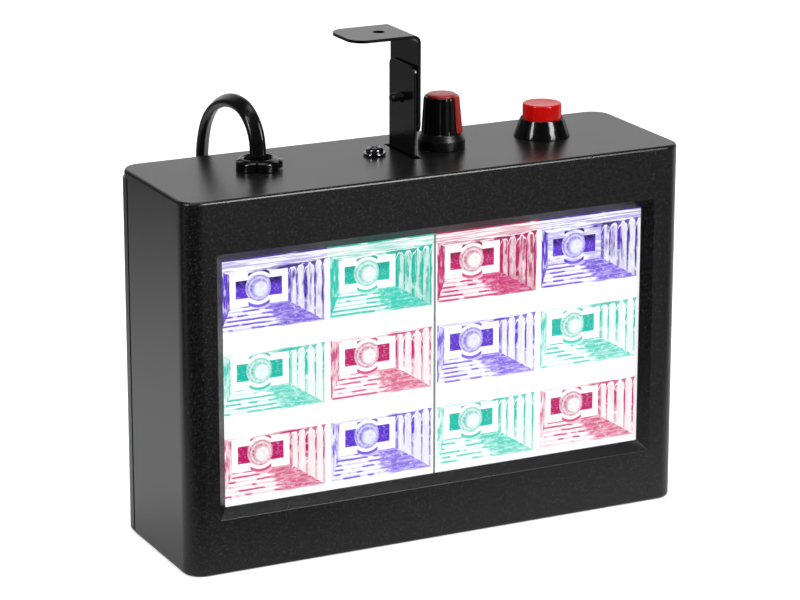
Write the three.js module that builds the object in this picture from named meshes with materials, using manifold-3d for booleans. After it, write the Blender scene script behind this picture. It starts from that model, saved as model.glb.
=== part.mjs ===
// Strobe light: a flat black plastic case with twelve reflector cups behind a clear panel, a speed
// knob, a push button, a two-part hanging bracket and a flat mains lead with its plug.
// Millimetres, +Z up. The front looks along -Y and the origin is at the middle of the base.
import * as THREE from 'three';
import { mergeVertices } from 'three/addons/utils/BufferGeometryUtils.js';
import Module from 'manifold-3d';

const wasm = await Module();
wasm.setup();

// Clearance between neighbouring pieces, and how far a cutting shape runs past what it cuts
const gap = 0.3;
const overrun = 2;
const roundSteps = 24;
const cupSteps = 16;
const smallSteps = 12;
const cornerSteps = 5;

// Case: front moulding with the top, bottom and side walls, and a rear cover between them
const shell = {
  width: 175,
  depth: 54,
  height: 121,
  wall: 2.5,
  frontWall: 3.5,
  frontRadius: 6.3,
  rearRadius: 6.8,
  coverRadius: 5,
  edgeRadius: 1.1,
  sideWallShortOfRear: 8,
  shadowGap: 0.9,
  lipInset: 0.9,
};
const sideX = shell.width / 2;
const frontY = -shell.depth / 2;
const rearY = shell.depth / 2;
const insideTop = shell.height - shell.wall;
const coverInsideY = rearY - shell.wall;

// Window in the front, with a sloping rim, and the clear panel behind it
const opening = { sideMargin: 13.5, topMargin: 20, bottomMargin: 21, bevel: 3 };
const openingWidth = shell.width - 2 * opening.sideMargin;
const openingHeight = shell.height - opening.topMargin - opening.bottomMargin;
const openingMiddle = opening.bottomMargin + openingHeight / 2;
const panel = { thickness: 1.5, lap: 2 };

// Reflector mouldings, two side by side, with two by three cups each
const cups = {
  hiddenAtSides: 1,
  rowLap: 0.8,
  drop: 1.2,
  columnLand: 0.7,
  rowLand: 6,
  floorWidthShare: 0.5434,
  floorHeightShare: 0.5189,
  depth: 10.5,
  steps: 6,
  stepRise: 0.5,
  rimToEdge: 1,
  rimToTop: 4.2,
  wall: 1.1,
  slotWidth: 15.8,
  slotHeight: 5.8,
  ringRadius: 6.4,
};
const columnShares = [-1.5, -0.5, 0.5, 1.5];
const rowShares = [1, 0, -1];
const columnPitch = (openingWidth + 2 * cups.hiddenAtSides) / columnShares.length;
const rowPitch = (openingHeight + 2 * cups.rowLap) / rowShares.length;
const middleRowHeight = openingMiddle - cups.drop;
const mouth = { width: columnPitch - cups.columnLand, height: rowPitch - cups.rowLand };
const cupFloor = {
  width: mouth.width * cups.floorWidthShare,
  height: mouth.height * cups.floorHeightShare,
};

// Light emitters and the board that carries them
const led = { radius: 4.2, rimHeight: 1.3, domeHeight: 2.2, lensShare: 0.62 };
const ledBoard = { lap: 0.5, endMargin: 7, thickness: 1.6, screwSideInset: 14.5, screwInset: 4.8 };
const ledBoardWidth = openingWidth + 2 * ledBoard.lap;
const ledBoardHeight = shell.height - 2 * (shell.wall + ledBoard.endMargin);

// Driver board on the rear cover, seen from the front, and the parts soldered to it
const driver = {
  sideMargin: 17.5,
  width: 100,
  bottom: 16,
  height: 60,
  thickness: 1.6,
  standoff: 3.7,
  inset: 4,
};
const transformer = {
  x: 40,
  z: 25,
  width: 24,
  height: 20,
  windingWidth: 15,
  windingHeight: 26,
  step: 2,
  headroom: 10.5,
};
const capacitor = { x: 75, z: 30, radius: 6.3, headroom: 6.5 };
const terminal = { x: 12, z: 46, width: 15, height: 10, headroom: 14.5, wellRadius: 2, wellDepth: 6 };

// Depths from the front, each piece lying behind the one before
const panelFrontY = frontY + shell.frontWall + gap;
const mouldingFrontY = panelFrontY + panel.thickness + gap;
const cupFloorY = mouldingFrontY + cups.depth;
const ledBoardFrontY = cupFloorY + cups.wall + gap;
const ledBoardBackY = ledBoardFrontY + ledBoard.thickness;
const driverBackY = coverInsideY - driver.standoff - gap;
const driverFrontY = driverBackY - driver.thickness;
const partsFrontY = driverFrontY - gap;
const driverLeft = -sideX + driver.sideMargin;
const room = partsFrontY - ledBoardBackY;

// Everything on top of the case stands on one line across it
const controlLineY = 4.3;

// Flat mains lead and the two-part bushing that it leaves by, turned about the vertical
const lead = { width: 5.2, thickness: 3, flatShare: 0.4 };
const bushing = {
  x: -49.15,
  y: 4.4,
  turn: -26.2,
  headRadius: 7.1,
  headHeight: 3.5,
  chamfer: 1.5,
  chamferRise: 0.8,
  neckRadius: 5.9,
  neckLength: 9,
  clampWidth: 4.4,
  clampReach: 8.7,
  clampStart: 3.6,
  clampHeight: 3.1,
};

// Two-part hanging bracket of sheet steel and the screw that it tilts on
const bracket = {
  x: 1.1,
  sheet: 1,
  width: 18.3,
  lowerRise: 29.2,
  lowerCorner: 2.2,
  footLength: 15.5,
  slotLength: 22.5,
  slotMargin: 0.9,
  upperWidth: 19.9,
  upperStart: 7.7,
  upperRise: 39.6,
  upperCorner: 2.8,
  bendRadius: 2.6,
  flangeReach: 23.4,
  flangeCorner: 5.5,
  holeRadius: 2,
  holeX: -6.6,
};
const pivot = { rise: 18, radius: 1.5, headRadius: 2.8, headHeight: 2.1, tipPastSheet: 4 };
const fixing = {
  x: -8.5,
  radius: 1.5,
  headRadius: 3.6,
  headHeight: 2.1,
  length: 11,
  nutSize: 5.5,
  nutHeight: 2.4,
};

const lowerTop = shell.height + bracket.lowerRise;
const upperBottom = shell.height + bracket.upperStart;
const upperTop = shell.height + bracket.upperRise;
const pivotHeight = shell.height + pivot.rise;

// Speed knob on its potentiometer
const pot = {
  x: 15.45,
  canRadius: 8,
  canHeight: 7.2,
  bushRadius: 3.5,
  bushTop: 4,
  shaftRadius: 2.95,
  shaftTop: 13.6,
  flatDepth: 1.3,
  nutSize: 10,
  nutHeight: 2,
  lugWidth: 9,
  lugReach: 3.6,
  lugThickness: 0.9,
};
const knob = {
  skirtRadius: 7.7,
  skirtHeight: 3.1,
  shoulderRadius: 6.6,
  shoulderHeight: 5,
  topRadius: 5.8,
  topHeight: 17,
  ribs: 15,
  ribDepth: 0.35,
  hollowRadius: 6.1,
  capRadius: 4.9,
  capSink: 1,
  capRise: 0.8,
  pointerWidth: 2.5,
  pointerDepth: 0.9,
  pointerProud: 0.45,
  pointerTurn: -57,
};

// Push button with its conical collar
const button = {
  x: 52.2,
  collarRadius: 9.25,
  collarLip: 0.3,
  collarTopRadius: 7.2,
  collarHeight: 6,
  barrelRadius: 5.9,
  barrelLength: 13,
  boreRadius: 4.4,
  pocketDepth: 5,
  capRadius: 6.4,
  capHeight: 10.9,
  capBottom: 4,
  stemRadius: 2.4,
  stemLength: 12,
  travel: 2.8,
  nutSize: 14,
  nutHeight: 2.4,
  baseRadius: 5.2,
  baseHeight: 4.6,
  lugWidth: 2,
  lugLength: 4,
  lugSpread: 5,
};
const spring = { wire: 0.6, radius: 3.4, turns: 7, sides: 5, stepsPerTurn: 8 };

// Screws hidden inside the case and flush in its rear cover
const coverScrew = {
  sideInset: 9,
  edge: 8.5,
  radius: 1.5,
  headRadius: 2.9,
  headHeight: 1.6,
  length: 11,
  post: 3.3,
};
const boardScrew = { radius: 1.2, headRadius: 2.5, headHeight: 1.5, length: 6, post: 2.6 };

// Coil of the lead behind the case, its lead-in and the tail that runs to the plug
const coil = {
  turnPitch: 3.8,
  layerPitch: 5.8,
  outerRadius: 34.1,
  startHeading: 48.8,
  steps: 121,
  stepsPerTurn: 24,
  tailSteps: 8,
};
const leadHeight = lead.width / 2 + gap;

// Flat two-pin plug
const plug = {
  x: 24,
  y: 107.5,
  z: 7,
  reliefLength: 20,
  reliefWidth: 7.4,
  reliefHeight: 6,
  reliefEndWidth: 12,
  reliefEndHeight: 9.5,
  bodyLength: 30,
  bodyWidth: 35,
  shoulderLength: 13,
  bodyThickness: 13.7,
  edge: 1.6,
  pinRadius: 2,
  pinLength: 19,
  pinSeat: 6,
  pinSpacing: 18.6,
};

// Finishes
const finish = (color, roughness, metalness = 0) => ({ color, roughness, metalness });
const blackCase = finish(0x1b1b1c, 0.62);
const blackGloss = finish(0x0c0c0d, 0.18);
const blackSatin = finish(0x141415, 0.45);
const blackPaint = finish(0x121213, 0.3, 0.2);
const clear = finish(0xdfe6ea, 0.05);
const silvered = finish(0xf2f2f4, 0.2, 0.6);
const redPlastic = finish(0xd01818, 0.25);
const boardWhite = finish(0xe9ebe6, 0.5);
const boardGreen = finish(0x1f5a34, 0.5);
const steel = finish(0xc6c8ca, 0.25, 1);
const brass = finish(0xb99a56, 0.35, 1);
const leadBlack = finish(0x111112, 0.4);
const wireRed = finish(0xa02020, 0.5);
const glow = { purple: finish(0x6a3ce0, 0.2), teal: finish(0x18c0a4, 0.2), pink: finish(0xd8246c, 0.2) };
const glowRows = [
  [glow.purple, glow.teal, glow.pink, glow.purple],
  [glow.teal, glow.pink, glow.purple, glow.teal],
  [glow.pink, glow.purple, glow.teal, glow.pink],
];

const part = new THREE.Group();

function add(name, geometry, look, position = [0, 0, 0], turn = [0, 0, 0], parent = part) {
  const mesh = new THREE.Mesh(geometry, new THREE.MeshStandardMaterial(look));
  mesh.name = name;
  mesh.position.set(...position);
  mesh.rotation.set(...turn);
  parent.add(mesh);
  return mesh;
}

// Solids from closed geometry, and back again once they are cut or joined
function toSolid(geometry) {
  const bare = geometry.clone();
  bare.deleteAttribute('normal');
  bare.deleteAttribute('uv');
  const merged = mergeVertices(bare);
  const corners = merged.index.array;
  const triangles = [];
  for (let i = 0; i < corners.length; i += 3) {
    const [a, b, c] = corners.slice(i, i + 3);
    if (a !== b && b !== c && c !== a) triangles.push(a, b, c);
  }
  return new wasm.Manifold(new wasm.Mesh({
    numProp: 3,
    vertProperties: new Float32Array(merged.attributes.position.array),
    triVerts: new Uint32Array(triangles),
  }));
}

function toGeometry(solid) {
  const mesh = solid.getMesh();
  const geometry = new THREE.BufferGeometry();
  geometry.setAttribute('position', new THREE.BufferAttribute(mesh.vertProperties, 3));
  geometry.setIndex(new THREE.BufferAttribute(mesh.triVerts, 1));
  return geometry;
}

function join(first, ...others) {
  return toGeometry(others.reduce((whole, piece) => whole.add(toSolid(piece)), toSolid(first)));
}

function cut(first, ...tools) {
  return toGeometry(tools.reduce((whole, tool) => whole.subtract(toSolid(tool)), toSolid(first)));
}

function common(first, second) {
  return toGeometry(toSolid(first).intersect(toSolid(second)));
}

// A block between two corners
function block(low, high) {
  const [dx, dy, dz] = high.map((value, i) => value - low[i]);
  return new THREE.BoxGeometry(dx, dy, dz).translate(low[0] + dx / 2, low[1] + dy / 2, low[2] + dz / 2);
}

// A rectangle centred on the origin, with its own radius at the front and rear corners
function roundedOutline(width, depth, frontRadius, rearRadius = frontRadius) {
  const x = width / 2;
  const y = depth / 2;
  const quarter = Math.PI / 2;
  const outline = new THREE.Shape();
  outline.moveTo(-x + frontRadius, -y);
  outline.lineTo(x - frontRadius, -y);
  outline.absarc(x - frontRadius, -y + frontRadius, frontRadius, -quarter, 0);
  outline.lineTo(x, y - rearRadius);
  outline.absarc(x - rearRadius, y - rearRadius, rearRadius, 0, quarter);
  outline.lineTo(-x + rearRadius, y);
  outline.absarc(-x + rearRadius, y - rearRadius, rearRadius, quarter, 2 * quarter);
  outline.lineTo(-x, -y + frontRadius);
  outline.absarc(-x + frontRadius, -y + frontRadius, frontRadius, 2 * quarter, 3 * quarter);
  return outline;
}

// A prism on an outline, standing on z = 0, with its end edges rounded by edge
function prism(outline, height, edge = 0) {
  return new THREE.ExtrudeGeometry(outline, {
    depth: height - 2 * edge,
    bevelEnabled: edge > 0,
    bevelThickness: edge,
    bevelSize: edge,
    bevelOffset: -edge,
    bevelSegments: 2,
    curveSegments: cornerSteps,
  }).translate(0, 0, edge);
}

// A turned piece about Z from [radius, height] pairs that run upwards outside
function turned(profile, steps = roundSteps) {
  const points = profile.map(([radius, height]) => new THREE.Vector2(radius, height));
  return new THREE.LatheGeometry(points, steps).rotateX(Math.PI / 2);
}

function rod(radius, low, high, steps = roundSteps) {
  return turned([[0, low], [radius, low], [radius, high], [0, high]], steps);
}

// A solid through rings of [x, y, z] points, its ends closed to their middles
function loft(rings) {
  const count = rings[0].length;
  const points = rings.flat();
  const middle = (ring) => [0, 1, 2].map((i) => ring.reduce((sum, p) => sum + p[i], 0) / count);
  points.push(middle(rings[0]), middle(rings.at(-1)));
  const faces = [];
  for (let i = 0; i < count; i += 1) {
    const j = (i + 1) % count;
    const last = (rings.length - 1) * count;
    faces.push(rings.length * count, j, i, rings.length * count + 1, last + i, last + j);
    for (let k = 0; k < last; k += count) {
      faces.push(k + i, k + j, k + count + j, k + i, k + count + j, k + count + i);
    }
  }
  const geometry = new THREE.BufferGeometry();
  geometry.setAttribute('position', new THREE.Float32BufferAttribute(points.flat(), 3));
  geometry.setIndex(faces);
  return geometry;
}

const rectangle = (width, height, z) => [
  [-width / 2, -height / 2, z],
  [width / 2, -height / 2, z],
  [width / 2, height / 2, z],
  [-width / 2, height / 2, z],
];

function hexagonNut(size, height, boreRadius) {
  const outline = new THREE.Shape();
  const corner = size / Math.sqrt(3);
  for (let i = 0; i < 6; i += 1) {
    const angle = (i * Math.PI) / 3;
    outline.lineTo(corner * Math.cos(angle), corner * Math.sin(angle));
  }
  return cut(prism(outline, height), rod(boreRadius, -overrun, height + overrun));
}

// A screw with its head above z = 0 and its shank below, and one whose head is a cone below z = 0
function panScrew(sizes, length, steps = roundSteps) {
  return turned([
    [0, -length],
    [sizes.radius, -length],
    [sizes.radius, 0],
    [sizes.headRadius, 0],
    [sizes.headRadius, sizes.headHeight / 2],
    [sizes.headRadius * 0.6, sizes.headHeight],
    [0, sizes.headHeight],
  ], steps);
}

function flushScrew(sizes, length, steps = smallSteps) {
  return turned([
    [0, -length],
    [sizes.radius, -length],
    [sizes.radius, -sizes.headHeight],
    [sizes.headRadius, 0],
    [0, 0],
  ], steps);
}

// Front case: walls, window with its sloping rim, posts inside and holes in the top
const alongY = (geometry, x, y, z) => geometry.rotateX(-Math.PI / 2).translate(x, y, z);
const postX = sideX - coverScrew.sideInset;
const postPlaces = [-1, 1].flatMap((side) => [
  [side * postX, coverScrew.edge],
  [side * postX, shell.height - coverScrew.edge],
]);
const ledBoardBottom = middleRowHeight - ledBoardHeight / 2;
const ledBoardTop = ledBoardBottom + ledBoardHeight;
const boardPostX = ledBoardWidth / 2 - ledBoard.screwSideInset;
const boardPostPlaces = [-1, 1].flatMap((side) => [
  [side * boardPostX, ledBoardBottom + ledBoard.screwInset],
  [side * boardPostX, ledBoardTop - ledBoard.screwInset],
]);
const pastSide = sideX + overrun;
const pastRear = rearY + overrun;
const caseOutline = roundedOutline(shell.width, shell.depth, shell.frontRadius, shell.rearRadius);
const seamY = rearY - shell.sideWallShortOfRear;

// A post that grows out of the wall at fromY and ends at toY, and the hole in its end
const post = (radius, fromY, toY, [x, z]) =>
  alongY(rod(radius, -overrun / 2, toY - fromY, smallSteps), x, fromY, z);
const hole = (radius, fromY, length, [x, z]) =>
  alongY(rod(radius, 0, length, smallSteps), x, fromY, z);

function frontCase() {
  const outer = prism(caseOutline, shell.height, shell.edgeRadius);
  const innerFrontY = frontY + shell.frontWall;
  const cavity = block(
    [-sideX + shell.wall, innerFrontY, shell.wall],
    [sideX - shell.wall, pastRear, insideTop],
  );
  const behindSeam = block([-pastSide, seamY, -overrun], [pastSide, pastRear, insideTop]);
  const flare = opening.bevel + overrun;
  const rim = loft([
    rectangle(openingWidth, openingHeight, 0),
    rectangle(openingWidth + 2 * flare, openingHeight + 2 * flare, flare),
  ]).rotateX(Math.PI / 2).translate(0, frontY + opening.bevel, openingMiddle);
  const way = block(
    [-openingWidth / 2, frontY - overrun, openingMiddle - openingHeight / 2],
    [openingWidth / 2, innerFrontY + overrun, openingMiddle + openingHeight / 2],
  );
  const body = cut(outer, cavity, behindSeam, rim, way);
  const posts = postPlaces.map((place) =>
    post(coverScrew.post, innerFrontY, coverInsideY - gap, place));
  const boardPosts = boardPostPlaces.map((place) =>
    post(boardScrew.post, innerFrontY, ledBoardFrontY - gap, place));
  const coverHoles = postPlaces.map((place) =>
    hole(coverScrew.radius + gap, rearY - coverScrew.length - gap, coverScrew.length, place));
  const boardHoles = boardPostPlaces.map((place) =>
    hole(boardScrew.radius + gap, ledBoardBackY - boardScrew.length - gap, boardScrew.length, place));
  const through = (radius, x, y) =>
    rod(radius + gap, insideTop - overrun, shell.height + overrun).translate(x, y, 0);
  const slotHalf = bracket.slotLength / 2;
  const strapSlot = block(
    [bracket.x - bracket.slotMargin, controlLineY - slotHalf, insideTop - overrun],
    [bracket.x + bracket.sheet + bracket.slotMargin, controlLineY + slotHalf, shell.height + overrun],
  );
  return cut(
    join(body, ...posts, ...boardPosts),
    ...coverHoles,
    ...boardHoles,
    through(bushing.neckRadius, bushing.x, bushing.y),
    through(fixing.radius, fixing.x, controlLineY),
    through(pot.bushRadius, pot.x, controlLineY),
    through(button.barrelRadius, button.x, controlLineY),
    strapSlot,
  );
}
add('front_housing', frontCase(), blackCase);

// Rear cover: a plate that wraps round both rear corners and under the case, with a thin lip along
// the seam and the driver board's standoffs inside
const standoffSides = [driverLeft + driver.inset, driverLeft + driver.width - driver.inset];
const standoffPlaces = standoffSides.flatMap((x) => [
  [x, driver.bottom + driver.inset],
  [x, driver.bottom + driver.height - driver.inset],
]);

function rearCover() {
  const shellOutline = (inset) => roundedOutline(
    shell.width - 2 * inset,
    shell.depth - 2 * inset,
    shell.frontRadius - inset,
    shell.coverRadius - inset,
  );
  const layer = (inset, startY) => common(
    prism(shellOutline(inset), insideTop - 2 * gap - inset).translate(0, 0, gap + inset),
    block([-pastSide, startY, 0], [pastSide, pastRear, shell.height]),
  );
  const startY = seamY + gap;
  const kept = join(layer(0, seamY + shell.shadowGap), layer(shell.lipInset, startY));
  const hollow = block(
    [-sideX + shell.wall, startY - overrun, shell.wall],
    [sideX - shell.wall, coverInsideY, shell.height],
  );
  const standoffEnd = coverInsideY - driver.standoff;
  const standoffs = standoffPlaces.map(([x, z]) => {
    const standoff = rod(boardScrew.post, 0, driver.standoff + overrun / 2, smallSteps);
    return alongY(standoff, x, standoffEnd, z);
  });
  const seats = postPlaces.map(([x, z]) => alongY(turned([
    [0, -shell.wall - overrun],
    [coverScrew.radius + gap, -shell.wall - overrun],
    [coverScrew.radius + gap, -coverScrew.headHeight - gap],
    [coverScrew.headRadius + gap, 0],
    [coverScrew.headRadius + gap, overrun],
    [0, overrun],
  ], smallSteps), x, rearY, z));
  const pilots = standoffPlaces.map(([x, z]) => {
    const pilot = rod(boardScrew.radius + gap, -overrun, boardScrew.length - driver.thickness, smallSteps);
    return alongY(pilot, x, standoffEnd, z);
  });
  return cut(join(cut(kept, hollow), ...standoffs), ...seats, ...pilots);
}
add('rear_cover', rearCover(), blackCase);
postPlaces.forEach(([x, z], i) => {
  add(`rear_cover_screw_${i + 1}`, flushScrew(coverScrew, coverScrew.length - gap), blackSatin,
    [x, rearY - gap / 2, z], [-Math.PI / 2, 0, 0]);
});

// Clear panel behind the front wall
const panelHalf = openingWidth / 2 + panel.lap;
const panelHalfHeight = openingHeight / 2 + panel.lap;
add('clear_front_panel', block(
  [-panelHalf, panelFrontY, openingMiddle - panelHalfHeight],
  [panelHalf, panelFrontY + panel.thickness, openingMiddle + panelHalfHeight],
), clear);

// One reflector moulding: a front plate with stepped cups, seen with its local Z towards the front
function cupSolid(grow, runOut) {
  const rings = [rectangle(cupFloor.width + 2 * grow, cupFloor.height + 2 * grow, -grow)];
  const rise = grow > 0 ? 0 : cups.stepRise;
  for (let i = 0; i < cups.steps; i += 1) {
    const shareIn = i / cups.steps;
    const shareOut = (i + 1) / cups.steps;
    const size = (share, less) => [
      cupFloor.width + (mouth.width - cupFloor.width) * share + 2 * grow - 2 * less,
      cupFloor.height + (mouth.height - cupFloor.height) * share + 2 * grow - 2 * less,
    ];
    if (rise > 0 && i > 0) rings.push(rectangle(...size(shareIn, 0), cups.depth * shareIn));
    if (rise > 0) rings.push(rectangle(...size(shareOut, rise), cups.depth * shareOut));
    else if (i === cups.steps - 1) rings.push(rectangle(...size(shareOut, 0), cups.depth));
  }
  if (rise > 0) rings.push(rectangle(mouth.width, mouth.height, cups.depth));
  if (runOut > 0) rings.push(rectangle(mouth.width, mouth.height, cups.depth + runOut));
  return loft(rings);
}

function reflector(side) {
  const columns = columnShares.filter((share) => Math.sign(share) === side);
  const rowReach = rowPitch * rowShares[0];
  const top = rowReach + mouth.height / 2 + cups.rimToTop;
  const outer = 1.5 * columnPitch + mouth.width / 2 + cups.rimToEdge;
  const plateX = [gap / 2, outer].map((x) => side * x).sort((a, b) => a - b);
  const plate = block([plateX[0], -top, cups.depth - cups.wall], [plateX[1], top, cups.depth]);
  const centres = columns.flatMap((column) => rowShares.map((row) => [
    column * columnPitch,
    row * rowPitch,
    0,
  ]));
  const shells = centres.map((centre) => cupSolid(cups.wall, 0).translate(...centre));
  const limits = block([plateX[0], -top, -cups.wall], [plateX[1], top, cups.depth]);
  const tools = centres.flatMap((centre) => [
    cupSolid(0, overrun).translate(...centre),
    rod(cups.ringRadius, 0, cups.depth / 2, cupSteps).translate(...centre),
    rod(led.radius + gap, -cups.wall - overrun, overrun, cupSteps).translate(...centre),
    block([-cups.slotWidth / 2, -cups.slotHeight / 2, -cups.wall - overrun],
      [cups.slotWidth / 2, cups.slotHeight / 2, overrun]).translate(...centre),
  ]);
  return cut(common(join(plate, ...shells), limits), ...tools);
}
const facingFront = [Math.PI / 2, 0, 0];
add('reflector_left', reflector(-1), silvered, [0, cupFloorY, middleRowHeight], facingFront);
add('reflector_right', reflector(1), silvered, [0, cupFloorY, middleRowHeight], facingFront);

// Light emitters, one in each cup
rowShares.forEach((row, i) => columnShares.forEach((column, j) => {
  const lens = turned([
    [0, 0],
    [led.radius, 0],
    [led.radius, led.rimHeight],
    [led.radius * led.lensShare, led.rimHeight + led.domeHeight * led.lensShare],
    [0, led.rimHeight + led.domeHeight],
  ], smallSteps);
  add(`led_r${i + 1}c${j + 1}`, lens, glowRows[i][j],
    [column * columnPitch, ledBoardFrontY - gap, middleRowHeight + row * rowPitch], facingFront);
}));

// Board behind the reflectors, held to the front case by four screws
const ledBoardPlate = block(
  [-ledBoardWidth / 2, ledBoardFrontY, ledBoardBottom],
  [ledBoardWidth / 2, ledBoardBackY, ledBoardBottom + ledBoardHeight],
);
const boardHole = (thickness, y, place) =>
  hole(boardScrew.radius + gap, y - overrun, thickness + 2 * overrun, place);
const ledBoardHoles = boardPostPlaces.map((place) => boardHole(ledBoard.thickness, ledBoardFrontY, place));
add('led_board', cut(ledBoardPlate, ...ledBoardHoles), boardWhite);
boardPostPlaces.forEach(([x, z], i) => {
  add(`led_board_screw_${i + 1}`, panScrew(boardScrew, boardScrew.length - gap, smallSteps), steel,
    [x, ledBoardBackY + gap, z], [-Math.PI / 2, 0, 0]);
});

// Driver board on the rear cover's standoffs
const driverPlate = block([driverLeft, driverFrontY, driver.bottom],
  [driverLeft + driver.width, driverBackY, driver.bottom + driver.height]);
const driverHoles = standoffPlaces.map((place) => boardHole(driver.thickness, driverFrontY, place));
add('driver_board', cut(driverPlate, ...driverHoles), boardGreen);
standoffPlaces.forEach(([x, z], i) => {
  add(`driver_board_screw_${i + 1}`, panScrew(boardScrew, boardScrew.length - gap, smallSteps), steel,
    [x, driverFrontY - gap, z], [Math.PI / 2, 0, 0]);
});

// Transformer, capacitor and terminal block on the driver board; headroom is what each leaves in front
const reach = (piece) => room - piece.headroom;
const place = (piece) => [driverLeft + piece.x, driver.bottom + piece.z];
function onDriver(piece, width, depth, height) {
  const [x, z] = place(piece);
  return block(
    [x - width / 2, partsFrontY - depth, z - height / 2],
    [x + width / 2, partsFrontY, z + height / 2],
  );
}
const coreDepth = reach(transformer);
add('transformer', join(
  onDriver(transformer, transformer.width, coreDepth, transformer.height),
  onDriver(transformer, transformer.windingWidth, coreDepth - transformer.step, transformer.windingHeight),
), finish(0x3a3a3c, 0.6));
const [capacitorX, capacitorZ] = place(capacitor);
add('filter_capacitor', rod(capacitor.radius, 0, reach(capacitor)), finish(0x1d2f66, 0.35),
  [capacitorX, partsFrontY, capacitorZ], facingFront);
const [terminalX, terminalZ] = place(terminal);
const terminalFrontY = partsFrontY - reach(terminal);
const wells = [-1, 1].map((side) => rod(terminal.wellRadius, -terminal.wellDepth, overrun, smallSteps)
  .rotateX(Math.PI / 2).translate(terminalX + (side * terminal.width) / 4, terminalFrontY, terminalZ));
add('terminal_block', cut(onDriver(terminal, terminal.width, reach(terminal), terminal.height), ...wells),
  finish(0x2f6b3c, 0.5));

// Potentiometer under the top wall, its nut, shaft and knob
const potTop = insideTop - gap;
const potBody = join(
  rod(pot.canRadius, potTop - pot.canHeight, potTop),
  rod(pot.bushRadius, potTop - overrun, shell.height + pot.bushTop),
  block([-pot.lugWidth / 2, 0, potTop - pot.canHeight], [pot.lugWidth / 2, pot.canRadius + pot.lugReach,
    potTop - pot.canHeight + pot.lugThickness]),
);
const shaftBottom = potTop - pot.canHeight / 2;
const shaftWay = rod(pot.shaftRadius + gap, shaftBottom - gap, shell.height + pot.bushTop + overrun);
add('potentiometer_body', cut(potBody, shaftWay), steel, [pot.x, controlLineY, 0]);
add('potentiometer_nut', hexagonNut(pot.nutSize, pot.nutHeight, pot.bushRadius + gap), steel,
  [pot.x, controlLineY, shell.height + gap]);

const knobGroup = new THREE.Group();
knobGroup.position.set(pot.x, controlLineY, 0);
part.add(knobGroup);
const flat = pot.shaftRadius - pot.flatDepth;
const shaftEnd = shell.height + pot.shaftTop;
const shaft = cut(rod(pot.shaftRadius, shaftBottom, shaftEnd), block(
  [flat, -pot.canRadius, shell.height + pot.bushTop + gap],
  [pot.canRadius, pot.canRadius, shaftEnd + overrun],
));
const pointerAngle = THREE.MathUtils.degToRad(knob.pointerTurn);
add('potentiometer_shaft', shaft, steel, [0, 0, 0], [0, 0, pointerAngle], knobGroup);

const knobBase = shell.height + gap + gap / 2;
function ribbedRing(radius, z) {
  const ring = [];
  for (let i = 0; i < 2 * knob.ribs; i += 1) {
    const angle = (i * Math.PI) / knob.ribs;
    const reach = radius - (i % 2) * knob.ribDepth;
    ring.push([reach * Math.cos(angle), reach * Math.sin(angle), z]);
  }
  return ring;
}
const knobTop = shell.height + knob.topHeight;
function pointerShape(grow) {
  const half = knob.pointerWidth / 2 + grow;
  const foot = knob.shoulderRadius + knob.pointerProud;
  const head = knob.topRadius + knob.ribDepth / 2;
  const low = shell.height + knob.shoulderHeight + knob.ribDepth - grow;
  const outline = new THREE.Shape();
  outline.moveTo(foot - knob.pointerDepth - grow, low);
  outline.lineTo(foot + grow, low);
  outline.lineTo(head + grow, knobTop + knob.capRise / 2 + grow);
  outline.lineTo(knob.capRadius / 2, knobTop + knob.capRise / 2 + grow);
  outline.lineTo(knob.capRadius / 2, knobTop - knob.capSink - grow);
  outline.lineTo(head - knob.pointerDepth - grow, knobTop - knob.capSink - grow);
  return prism(outline, 2 * half).rotateX(Math.PI / 2).translate(0, half, 0);
}
const capDisc = (grow) => turned([
  [0, knobTop - knob.capSink - grow],
  [knob.capRadius + grow, knobTop - knob.capSink - grow],
  [knob.capRadius + grow, knobTop + grow],
  [knob.capRadius * 0.7, knobTop + knob.capRise + grow],
  [0, knobTop + knob.capRise + grow],
]);
const knobBody = join(
  turned([
    [0, knobBase],
    [knob.skirtRadius, knobBase],
    [knob.skirtRadius, shell.height + knob.skirtHeight],
    [knob.shoulderRadius, shell.height + knob.shoulderHeight],
    [0, shell.height + knob.shoulderHeight],
  ]),
  loft([
    ribbedRing(knob.shoulderRadius, shell.height + knob.skirtHeight),
    ribbedRing(knob.topRadius, knobTop),
  ]),
);
const shaftHole = rod(pot.shaftRadius + gap, knobBase - overrun, shaftEnd + gap);
const bushSpaceTop = shell.height + pot.bushTop + gap;
const flatFiller = block([flat + gap, -pot.canRadius, bushSpaceTop + gap],
  [pot.shaftRadius + 2 * gap, pot.canRadius, shaftEnd + 2 * gap]);
const drilled = cut(knobBody,
  rod(knob.hollowRadius, knobBase - overrun, shell.height + pot.nutHeight + 2 * gap),
  rod(pot.bushRadius + gap, knobBase - overrun, bushSpaceTop),
  cut(shaftHole, flatFiller));
const knobTurn = [0, 0, pointerAngle];
const knobShell = cut(drilled, pointerShape(gap), capDisc(gap));
add('speed_knob', knobShell, blackSatin, [0, 0, 0], knobTurn, knobGroup);
add('knob_pointer_cap', join(capDisc(0), pointerShape(0)), redPlastic, [0, 0, 0], knobTurn, knobGroup);

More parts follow.
